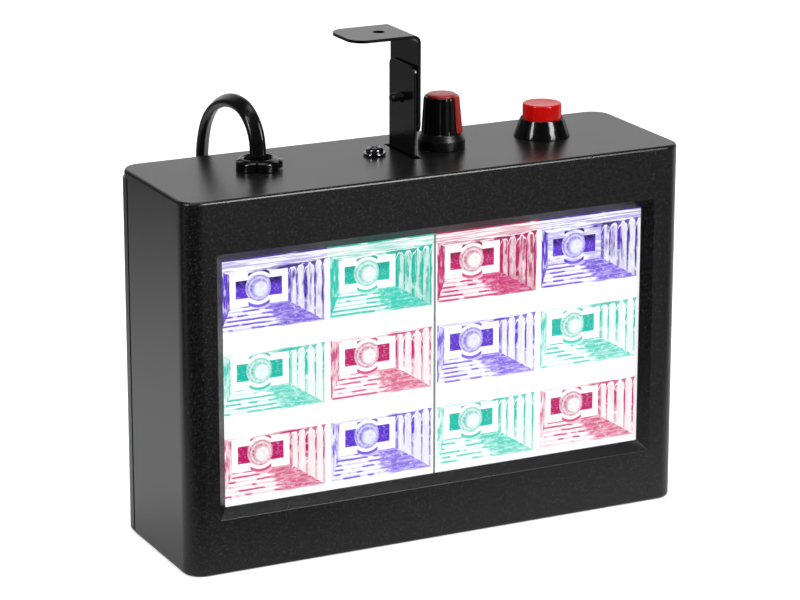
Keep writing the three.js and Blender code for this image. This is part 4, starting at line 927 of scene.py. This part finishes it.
def from_middle(cells, pitch):
    """How far from the middle of its cup, in millimetres."""
    return times(count_node("SUBTRACT", count_node("FRACT", cells), 0.5), pitch)


top_row = graded(up_cells, 1.99, 2.01)
for label, value in (
        ("Tint", pick(is_purple, pick(is_teal, crimson, teal), purple)),
        ("Deep", pick(is_purple, pick(is_teal, deep_crimson, deep_teal), deep_purple)),
        ("Top row", top_row), ("Across", from_middle(across_cells, column_pitch)),
        ("Up", from_middle(up_cells, row_pitch)), ("Dimmed", times(top_row, graded(across_cells, 0.99, 1.01))),
        ("Strong", times(top_row, less(is_purple)))):
    links.new(value, light_out.inputs[label])


def streaks(vector_parts, scale=1.0, detail=2.0):
    """Noise on three values, in the tree being built."""
    joined = nodes.new("ShaderNodeCombineXYZ")
    for socket, value in zip(joined.inputs, vector_parts):
        if isinstance(value, bpy.types.NodeSocket):
            links.new(value, socket)
        else:
            socket.default_value = value
    noise = nodes.new("ShaderNodeTexNoise")
    set_sockets(noise, Scale=scale, Detail=detail)
    links.new(joined.outputs[0], noise.inputs["Vector"])
    return noise.outputs["Fac"]


reflector_look, nodes, links, shader = shader_nodes("reflector_silver")
cup = use_group(nodes, light).outputs
across, up, top_row, strong = cup["Across"], cup["Up"], cup["Top row"], cup["Strong"]
wall_node = nodes.new("ShaderNodeAttribute")
wall_node.attribute_name = "wall"
parts = nodes.new("ShaderNodeSeparateXYZ")
links.new(wall_node.outputs["Vector"], parts.inputs[0])
kind, along, rise = parts.outputs
x, y, z = split_axes()
x_mm, z_mm = times(x, 1 / mm), times(z, 1 / mm)


def on(which):
    """1 on that wall of a cup and 0 elsewhere."""
    return same(kind, which, 0.4)


def size_of(value):
    return count_node("ABSOLUTE", value)


steps_up = times(rise, flutes)
step, in_step = count_node("FLOOR", steps_up), count_node("FRACT", steps_up)
reach = count_node("SQRT", plus(times(across, across), times(up, up)))

# Lower wall: painted light in broken dashes along each step, and a dense patch of level strokes to the right
dash = graded(streaks((times(x_mm, 0.17), times(step, 3.7), times(z_mm, 0.02)), 1.0, 1.0), 0.46, 0.53)
soft_dash = graded(streaks((times(x_mm, 0.1), times(rise, 16), 8.8)), 0.4, 0.62)
dash_line = times(graded(in_step, 0.02, 0.12), less(graded(in_step, 0.5, 0.66)))
dashes = times(dash_line, plus(times(dash, 0.62), 0.16))
stroke = graded(streaks((times(x_mm, 0.3), times(rise, 22), 1.7), 1.0, 3.0), 0.3, 0.6, 0.32, 0.72)
fleck = graded(streaks((times(x_mm, 0.8), times(rise, 26), 6.1), 1.0, 1.0), 0.56, 0.7)
patch_edge = plus(along, times(streaks((times(x_mm, 0.1), times(rise, 9), 7.0), 1.0, 1.0), 0.24))
patched = times(graded(patch_edge, 0.66, 0.75), less(graded(rise, 0.86, 1.0, 0.0, 0.5)))
lower_amount = plus(times(plus(dashes, times(soft_dash, 0.1)), less(patched)),
                    times(patched, stroke, less(times(fleck, 0.6))))

# Right wall: painted light along broad upright flutes, a dark line of painted shade in each hollow, pale between, with
# arched tops
steps_out = times(rise, side_flutes)
in_flute = count_node("FRACT", steps_out)
flute_noise = streaks((times(rise, 17), times(z_mm, 0.16), times(x_mm, 0.05)))
broken = streaks((times(rise, 6), times(z_mm, 0.5), times(x_mm, 0.3)), 1.0, 2.5)
hollow = times(less(graded(in_flute, 0.2, 0.3)), graded(in_flute, -0.02, 0.03))
high_up = graded(plus(along, times(flute_noise, 0.5)), 0.35, 0.95)
dark_line = times(hollow, plus(times(high_up, 0.55), times(graded(broken, 0.36, 0.5), 0.5)))
streaked = times(graded(flute_noise, 0.46, 0.62), plus(times(high_up, 0.55), 0.25))
innermost = times(less(graded(steps_out, 0.42, 0.62)), plus(times(graded(broken, 0.3, 0.5), 0.35), 0.5))
fluted = largest(plus(dark_line, times(streaked, plus(times(top_row, 0.35), 0.2)), 0.12), innermost)
off_crown = size_of(count_node("SUBTRACT", in_flute, 0.6))
past_arch = count_node("SUBTRACT", along, plus(0.995, times(count_node("POWER", off_crown, 2), -0.5)))
above_arch = graded(past_arch, -0.03, 0.0)
on_arch = times(graded(past_arch, -0.07, -0.05), less(above_arch))
right_amount = plus(times(fluted, less(on_arch), less(above_arch)), times(above_arch, 0.9))

# Upper wall: painted light in fine level streaks and a solid patch near the right; left wall: in narrow strips
top_streak = graded(streaks((times(x_mm, 0.12), times(rise, 17), 5.2), 1.0, 2.5), 0.45, 0.6)
patch = times(graded(along, 0.66, 0.76), less(graded(rise, 0.45, 0.7)),
              graded(streaks((times(x_mm, 0.3), times(rise, 7), 9.4), 1.0, 1.0), 0.34, 0.46))
upper_amount = plus(times(top_streak, plus(times(graded(along, 0.3, 0.9), 0.4), 0.3)), patch)
left_amount = graded(streaks((times(rise, 16), times(z_mm, 0.2), 2.2), 1.0, 3.0), 0.34, 0.62, 0.18, 0.95)

# Round each emitter, painted light and shade: a crescent above and a thicker one below, and the slot at its sides
narrow = less(graded(size_of(across), 3.5, 3.8))
crescent_below = times(graded(reach, 5.35, 5.55), less(graded(reach, 6.3, 6.5)), less(graded(up, -0.5, 0.0)), narrow)
crescent_above = times(graded(reach, 5.3, 5.45), less(graded(reach, 6.05, 6.25)), graded(up, 0.0, 0.5), narrow)
crescents = times(largest(crescent_below, crescent_above), 0.92)
in_slot = times(less(graded(size_of(up), 2.95, 3.1)), less(graded(size_of(across), 8.0, 8.2)))
haze = graded(streaks((times(x_mm, 0.2), times(z_mm, 0.9), 3.3)), 0.36, 0.6)
base_amount = plus(times(cup["Dimmed"], plus(times(haze, 0.4), 0.1)), times(top_row, 0.03), crescents)

# The lands between the cups glow plain white, as painted light, but for painted streaks of tint and shade along the
# very top of the window
rim_streak = graded(streaks((times(x_mm, 0.08), times(z_mm, 3.4), 0.4)), 0.46, 0.58)
top_edge = times(graded(z_mm, 99.85, 100.0),
                 graded(streaks((times(x_mm, 0.15), times(z_mm, 1), 4.4), 1.0, 1.0), 0.28, 0.4))
land_amount = plus(times(graded(z_mm, 96.5, 96.9), rim_streak, 0.6), top_edge)

# How much painted colour of light each wall takes, then how dense and how dark that colour is there
near_floor = times(crescents, less(graded(rise, 0.15, 0.25)))
amounts = [(lower, largest(lower_amount, near_floor)), (right_hand, right_amount), (upper, upper_amount),
           (left_hand, left_amount), (base, base_amount), (pocket, largest(in_slot, crescents)), (land, land_amount)]
amount = plus(*[times(on(which), value) for which, value in amounts])
walls = plus(on(lower), on(right_hand), on(upper), on(left_hand))
density = plus(1.0, times(on(lower), 0.8), times(on(upper), 0.3), times(on(right_hand), -0.2),
               times(on(left_hand), top_row, 1.1), times(walls, top_row, 0.3),
               times(on(right_hand), strong, 1.0), times(walls, strong, 1.1))
whole = less(count_node("POWER", less(count_node("MINIMUM", amount, 1.0)), density))
painted_glow_colour = pick(whole, (1.0, 1.0, 1.0), cup["Tint"])
# Painted shade, in the top row only: mottled patches on the walls, and darker up the slot, high on the right wall, in
# the crescent above the emitter, along the top edge of the lands and in the upper patch
mottled = graded(streaks((times(x_mm, 0.5), times(z_mm, 0.5), times(rise, 9))), 0.4, 0.56)
painted_mottled_shade = times(plus(walls, times(on(lower), -0.7)), whole, mottled, 0.6)
painted_shade = plus(times(on(pocket), graded(up, 0.5, 2.5)), times(on(right_hand), high_up, graded(flute_noise, 0.6, 0.72)),
             times(on(base), crescent_above, 0.9), times(on(land), top_edge, 0.6), times(on(upper), patch, 0.5))
painted_shade = times(top_row, count_node("MINIMUM", plus(painted_shade, painted_mottled_shade), 1.0), 0.85)
# The lands glow a dim grey along the seam where the two mouldings meet: painted shade in the gap
seam = times(on(land), less(graded(size_of(x_mm), 0.3, 0.5)))
shown = pick(seam, pick(painted_shade, painted_glow_colour, cup["Deep"]), (0.2, 0.24, 0.25))


def glowing(colour, share, strength, specular):
    """Gives the shader being built a colour that it sends out, and a share of it as its own."""
    links.new(colour, shader.inputs["Emission Color"])
    links.new(pick(share, (0, 0, 0), colour), shader.inputs["Base Color"])
    set_sockets(shader, Emission_Strength=strength, Specular_IOR_Level=specular)


# The painted pattern is sent out as light, so the moulding glows though it is no lamp; a quarter of it is also its own
# colour
glowing(shown, 0.25, 0.92, 0.12)
links.new(graded(streaks((x_mm, z_mm, rise), 0.4), 0.3, 0.7, 0.18, 0.3), shader.inputs["Roughness"])

# Each moulding has a frame round its six cups, and the two meet in a fine seam
half_seam, frame_in, frame_out = 0.15, 75, 75.6
frame_levels = [(17.8, 19), (100.6, 101.8)]
for hand, side in (("left", -1), ("right", 1)):
    reflector = set_out(f"reflector_{hand}_silvered", cup_pattern, Columns=2, Rows=3,
                        Column_pitch=column_pitch * mm, Row_pitch=row_pitch * mm,
                        Middle=Vector((side * column_pitch, 0, middle_row)) * mm, Finish=reflector_look)
    build = bmesh.new()
    build.from_mesh(reflector.data)
    bmesh.ops.remove_doubles(build, verts=build.verts, dist=0.002 * mm)
    for vertex in build.verts:
        if abs(vertex.co.x) < half_seam * mm:
            vertex.co.x = side * half_seam * mm
    build.to_mesh(reflector.data)
    build.free()
    bars = [(frame_in, frame_out, frame_levels[0][0], frame_levels[1][1])]
    bars += [(half_seam, frame_in, low, high) for low, high in frame_levels]
    add_to(reflector, *[box_rings((side * x0, cup_front, z0), (side * x1, cup_back, z1)) for x0, x1, z0, z1 in bars])
    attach(reflector, "case")
    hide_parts(f"reflector_{hand}")
bpy.data.objects.remove(cup_pattern)


# Emitters: twelve clear resin lenses, each a flat flange with a dome in its middle that
# glows in the colour of its cup.
lens_profile = [(0, 4), (0.15, 4.2), (1.0, 4.2), (1.25, 4.0), (1.3, 3.6), (1.2, 3.0), (1.35, 2.7), (2.1, 2.55),
                (2.8, 2.1), (3.25, 1.45), (3.45, 0.7), (3.5, 0.15)]
lens_stretch = 1.1
lens_back = -9.8
lens_steps = 48
to_front = Matrix.Rotation(math.pi / 2, 3, "X")
rings = turned_rings(Vector((0, lens_back, 0)), lens_profile, lens_steps, to_front)
rings = [[Vector((spot.x, spot.y, spot.z * lens_stretch)) for spot in ring] for ring in rings]
lens_pattern = skinned("lens_pattern", rings, sharp_from=50)
lens_names = [["purple", "teal", "pink", "purple"], ["teal", "pink", "purple", "teal"],
              ["pink", "purple", "teal", "pink"]]
for start, (colour, tint_value) in enumerate((("purple", purple), ("teal", teal), ("pink", crimson))):
    lens_look, nodes, links, shader = shader_nodes(f"emitter_{colour}")
    cup = use_group(nodes, light).outputs
    across, up = cup["Across"], cup["Up"]
    radius = count_node("SQRT", plus(times(across, across), times(up, up)))
    waver = streaks((across, up, 0.5), 0.9)
    ring_mask = times(graded(radius, 2.2, 2.45), less(graded(radius, 2.8, 3.2)))
    edge_mask = times(graded(radius, 3.6, 3.8), less(graded(radius, 4.0, 4.3)))
    flange_mask = times(graded(radius, 2.5, 2.7), less(graded(radius, 4.3, 4.4)))
    spotted = times(graded(streaks((across, up, 2.5), 1.6), 0.52, 0.64), flange_mask)
    amount = plus(0.04, times(ring_mask, 0.34), times(graded(waver, 0.42, 0.62), 0.14), times(flange_mask, 0.18),
                  times(edge_mask, 0.3), times(spotted, 0.28))
    palest = (0.88, 0.9, 1.0) if colour == "purple" else (0.95, 1.0, 1.0)
    glowing(pick(count_node("MINIMUM", amount, 0.85), palest, tint_value), 0.25, 0.86, 0.25)
    links.new(graded(waver, 0.3, 0.7, 0.08, 0.16), shader.inputs["Roughness"])
    lenses = set_out(f"lenses_{colour}", lens_pattern, Columns=4, Rows=3, Column_pitch=column_pitch * mm,
                     Row_pitch=row_pitch * mm, Middle=Vector((0, 0, middle_row)) * mm, One_in=3, Starting_at=start,
                     Finish=lens_look)
    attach(lenses, "case")
    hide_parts(*[f"led_r{i + 1}c{j + 1}" for i in range(3) for j in range(4) if lens_names[i][j] == colour])
bpy.data.objects.remove(lens_pattern)


# Emitter board: white-faced laminate behind the cups, on four screws. It shows through their slots, and the cups'
# light on it is painted on as a glow, with painted shade near the top of the top row.
def keep(node, look):
    """Gives a node of the frame, whose shape is right, its finish."""
    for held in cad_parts[node].material_slots:
        held.material = look


board_look, nodes, links, shader = shader_nodes("board_white")
cup = use_group(nodes, light).outputs
specks = streaks((cup["Across"], times(cup["Up"], 1.6), 0.3), 1.3)
top_row_painted_darkening = times(graded(cup["Up"], -0.5, 1.2), cup["Top row"])
board_painted_tint = pick(times(graded(specks, 0.56, 0.66), 0.35), cup["Tint"], (0.8, 0.8, 0.9))
glowing(pick(times(top_row_painted_darkening, graded(specks, 0.38, 0.5)), board_painted_tint, cup["Deep"]), 0.12, 0.9, 0.08)
links.new(graded(specks, 0.3, 0.7, 0.3, 0.5), shader.inputs["Roughness"])
keep("led_board", board_look)


# Driver board and the parts soldered to it, on four standoffs inside the rear cover; the
# wires and the lead's end run from it under the top wall.
plated = grained("plated_steel", (0.42, 0.43, 0.45), (0.66, 0.67, 0.7), 0.22, 1.1, 0.08, metallic=1.0, spread=0.14)
inside_looks = {
    "driver_board": grained("board_green", (0.006, 0.05, 0.016), (0.014, 0.085, 0.03), 0.38, 0.7, 0.15),
    "transformer": grained("transformer_core", (0.02, 0.02, 0.022), (0.07, 0.06, 0.05), 0.5, 0.9, 0.35),
    "filter_capacitor": grained("capacitor_sleeve", (0.008, 0.016, 0.08), (0.016, 0.03, 0.13), 0.3, 1.4, 0.08),
    "terminal_block": grained("terminal_green", (0.01, 0.09, 0.03), (0.02, 0.15, 0.05), 0.42, 0.6, 0.2),
    "inner_power_lead": lead_jacket,
}
for node, look in inside_looks.items():
    keep(node, look)
wire_look = grained("wire_insulation", (0.2, 0.012, 0.01), (0.34, 0.02, 0.016), 0.42, 1.0, 0.12)
for node in ("led_wires", "knob_wires", "button_wires"):
    keep(node, wire_look)
board_screws = [f"{board}_board_screw_{i}" for board in ("led", "driver") for i in (1, 2, 3, 4)]
for node in board_screws + ["potentiometer_body", "potentiometer_nut", "potentiometer_shaft", "button_panel_nut",
                            "button_return_spring", "bracket_fixing_nut"]:
    keep(node, plated)


# Clear panel: a sheet of polished acrylic, sawn to size and faintly scratched, held
# between the front wall and the reflectors.
panel_look, nodes, links, shader = shader_nodes("clear_panel")
clouds = use_group(nodes, grain).outputs["Clouds"]
links.new(graded(clouds, 0.3, 0.7, 0.0, 0.03), shader.inputs["Roughness"])
set_sockets(shader, Base_Color=(1, 1, 1, 1), IOR=1.45, Transmission_Weight=1.0, Specular_IOR_Level=0.3)
keep("clear_front_panel", panel_look)


# Bracket: two straps of 1 mm sheet steel in black stove paint, the lower one standing
# through the slot, the upper one bent over into the flange that screws to a ceiling.
paint = grained("bracket_paint", (0.0008, 0.0008, 0.001), (0.003, 0.003, 0.0033), 0.18, 0.8, 0.16,
                specular=0.46, spread=0.1)
for node in ("lower_bracket", "upper_bracket"):
    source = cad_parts[node]
    build = bmesh.new()
    build.from_mesh(source.data)
    bmesh.ops.transform(build, matrix=source.matrix_world, verts=build.verts)
    bmesh.ops.remove_doubles(build, verts=build.verts, dist=0.001 * mm)
    bmesh.ops.dissolve_limit(build, angle_limit=math.radians(1), verts=build.verts, edges=build.edges)
    strap = mesh_object(node + "_sheet", build)
    ease_edges(strap, 0.22, 34)
    coat(strap, paint)
    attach(strap, "bracket" if node == "upper_bracket" else "case")
    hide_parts(node)


# Fixing screw: turned steel, chromed, with a washer face and a cross recess. It holds the
# lower bracket's foot under the top wall, with a nut inside.
fixing_profile = [(-11, 1.1), (-10.5, 1.5), (0, 1.5), (0.1, 3.2), (0.35, 3.68), (0.55, 3.75), (0.72, 3.68), (0.8, 3.4),
                  (0.82, 2.8), (1.7, 2.78), (1.95, 2.68), (2.25, 2.3), (2.45, 1.6), (2.52, 0.9), (2.55, 0.3)]
fixing_steps = 56
fixing_place = Vector((fixing_x, control_line, case_height))
fixing_screw = skinned("bracket_fixing_screw_turned",
                       turned_rings(fixing_place, fixing_profile, fixing_steps, upright), sharp_from=38)
cross_turn = Matrix.Rotation(math.radians(20), 3, "Z")
carve(fixing_screw, *[box_cutter((-x, -y, 1.3), (x, y, 3), cross_turn, fixing_place)
                      for x, y in ((1.8, 0.42), (0.42, 1.8))])
chrome = grained("chrome", (0.2, 0.2, 0.21), (0.34, 0.34, 0.35), 0.08, 1.6, 0.05, metallic=1.0, spread=0.06)
coat(fixing_screw, chrome)
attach(fixing_screw, "case")
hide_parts("bracket_fixing_screw")


# Pivot screw: blackened steel, with a rolled thread that stands out past the straps that
# it clamps, and a domed head.
pivot_place = Vector((0, control_line, 139))
pivot_steps = 32
thread_from, thread_to, thread_step = -2.9, 3.7, 0.062
thread_radius, thread_pitch, thread_depth = 1.5, 0.62, 0.24
taper_from, taper = -2.45, 0.8
pivot_head = [(3.7, 2.7), (3.8, 2.8), (4.9, 2.75), (5.4, 2.4), (5.7, 1.7), (5.8, 0.8)]
pivot_rings = []
for i in range(int((thread_to - thread_from) / thread_step) + 1):
    x = thread_from + thread_step * i
    ring = []
    for k in range(pivot_steps):
        a = 2 * math.pi * k / pivot_steps
        turn_share = (x / thread_pitch + k / pivot_steps) % 1
        radius = thread_radius - thread_depth * (1 - abs(2 * turn_share - 1)) - max(0, taper_from - x) * taper
        ring.append(pivot_place + Vector((x, radius * math.cos(a), radius * math.sin(a))))
    pivot_rings.append(ring)
along_x = Matrix(((0, 0, 1), (1, 0, 0), (0, 1, 0)))
pivot_rings += turned_rings(pivot_place, pivot_head, pivot_steps, along_x)
pivot_screw = skinned("pivot_screw_threaded", pivot_rings, sharp_from=45)
coat(pivot_screw, steel_dark)
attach(pivot_screw, "case")
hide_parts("pivot_screw")


# Speed knob: moulded in gloss black with fifteen flutes on a satin skirt; a red cap is
# pressed into its top, and the cap's pointer lies in a groove down the side.
knob_axis = Vector((knob_x, control_line, 0))
pointer_angle = math.radians(-57)
knob_steps = 240
knob_flutes, flute_depth = 15, 0.34
skirt_top, skirt_finish_top = 126, 126.02
groove_half, groove_depth = 1.4, 0.7
knob_levels = [(121.1, 7.45, 0), (121.15, 7.62, 0), (121.35, 7.7, 0), (123.9, 7.66, 0), (124.1, 7.5, 0),
               (125.9, 6.72, 0), (126, 6.62, 0), (126.05, 6.56, 0.6), (126.3, 6.55, 1),
               (131, 6.25, 1), (136.9, 5.86, 1), (137.5, 5.78, 0.8), (137.85, 5.6, 0.3), (138, 5.35, 0),
               (138, 4.98, 0), (137.2, 4.95, 0)]
knob_rings = []
for height, radius, fluted in knob_levels:
    ring = []
    for k in range(knob_steps):
        a = 2 * math.pi * k / knob_steps
        hollow = 0.5 - 0.5 * math.cos(knob_flutes * a)
        reach = radius - fluted * flute_depth * hollow ** 3
        from_pointer = min(a, 2 * math.pi - a)
        if height > skirt_top and from_pointer * radius < groove_half:
            reach = min(reach, radius - groove_depth)
        b = a + pointer_angle
        ring.append(knob_axis + Vector((reach * math.cos(b), reach * math.sin(b), height)))
    knob_rings.append(ring)
speed_knob = skinned("speed_knob_moulding", knob_rings, sharp_from=28)
knob_look = grained("knob_plastic", (0.001, 0.001, 0.0012), (0.004, 0.004, 0.0045), 0.13, 0.9, 0.08, specular=0.5,
                    spread=0.08)
skirt_look = grained("knob_skirt", (0.001, 0.001, 0.001), (0.01, 0.01, 0.01), 0.3, 0.45, 0.4, specular=0.5,
                     spread=0.16)
coat(speed_knob, knob_look)
speed_knob.data.materials.append(skirt_look)
for face in speed_knob.data.polygons:
    if face.center.z < skirt_finish_top * mm:
        face.material_index = 1
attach(speed_knob, "knob")
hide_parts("speed_knob")

# The red cap, and its pointer, a bar that bends over the edge and runs down the groove
cap_levels = [(137.05, 4.7), (137.05, 4.85), (138.1, 4.85), (138.4, 4.75), (138.62, 4.45), (138.75, 3.8), (138.8, 2.4),
              (138.8, 0.4)]
cap_steps = 72
pointer_turn = Matrix.Rotation(pointer_angle, 3, "Z")
pointer_path = [(2.6, 138.1, 0.7), (4.9, 138.05, 0.55), (5.55, 137.75, 0.45), (5.82, 137.1, 0.42), (5.95, 135.5, 0.42),
                (6.35, 131.5, 0.5), (6.72, 128, 0.55), (6.86, 126.9, 0.55), (6.87, 126.5, 0.4)]
pointer_half = 1.25
pointer_outline = [(-1, -0.9), (1, -0.9), (1, 0.2), (0.86, 0.75), (0.5, 1), (-0.5, 1), (-0.86, 0.75), (-1, 0.2)]
pointer_rings = []
for i, (reach, height, thick) in enumerate(pointer_path):
    before, after = pointer_path[max(i - 1, 0)], pointer_path[min(i + 1, len(pointer_path) - 1)]
    along = Vector((after[0] - before[0], 0, after[1] - before[1])).normalized()
    outward = thick * Vector((-along.z, 0, along.x))
    middle = Vector((reach, 0, height))
    pointer_rings.append([
        knob_axis + pointer_turn @ (middle + outward * out + Vector((0, sideways * pointer_half, 0)))
        for sideways, out in pointer_outline])
knob_cap = skinned("knob_cap_and_pointer", turned_rings(knob_axis, cap_levels, cap_steps, upright), pointer_rings,
                   sharp_from=32)
pointer_look = grained("pointer_red", (0.24, 0.013, 0.012), (0.3, 0.02, 0.018), 0.26, 1.6, 0.08,
                       specular=0.5, spread=0.12)
coat(knob_cap, pointer_look)
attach(knob_cap, "knob")
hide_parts("knob_pointer_cap")


# Push button: a red cap that slides in a gloss black conical collar, whose barrel goes
# through the top and is held by a nut inside.
button_axis = Vector((button_x, control_line, 0))
collar_levels = [(108, 5.7), (108.3, 5.9), (121.1, 5.9), (121.1, 9.1), (121.16, 9.22), (121.3, 9.2), (126.5, 7.28),
                 (126.8, 7.16), (126.95, 7.05), (127, 6.92), (126.9, 6.76), (126.6, 6.7), (122.1, 6.7), (122, 6.5),
                 (122, 4.4), (110, 4.4)]
collar_steps, button_steps = 96, 88
collar = skinned("button_collar", turned_rings(button_axis, collar_levels, collar_steps, upright), sharp_from=34)
coat(collar, relief_look)
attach(collar, "case")
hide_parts("button_housing")

# The cap has a stem down the middle of the barrel and is hollow round it for the spring
button_levels = [(113, 2.2), (113.2, 2.4), (128.2, 2.4), (128.2, 4.9), (125, 4.9), (125, 6.2), (125.2, 6.4),
                 (131.4, 6.37), (131.65, 6.28), (131.82, 6.08), (131.9, 5.75), (131.88, 5.2), (131.8, 4.6),
                 (131.74, 3.5), (131.7, 1.8), (131.7, 0.3)]
button_cap = skinned("button_cap_moulding", turned_rings(button_axis, button_levels, button_steps, upright),
                     sharp_from=40)
cap_look = grained("red_plastic", (0.36, 0.0008, 0.0), (0.44, 0.0016, 0.0002), 0.14, 1.6, 0.06,
                   specular=0.38, spread=0.08)
coat(button_cap, cap_look)
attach(button_cap, "button")
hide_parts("button_cap")
keep("button_contact_base", relief_look)
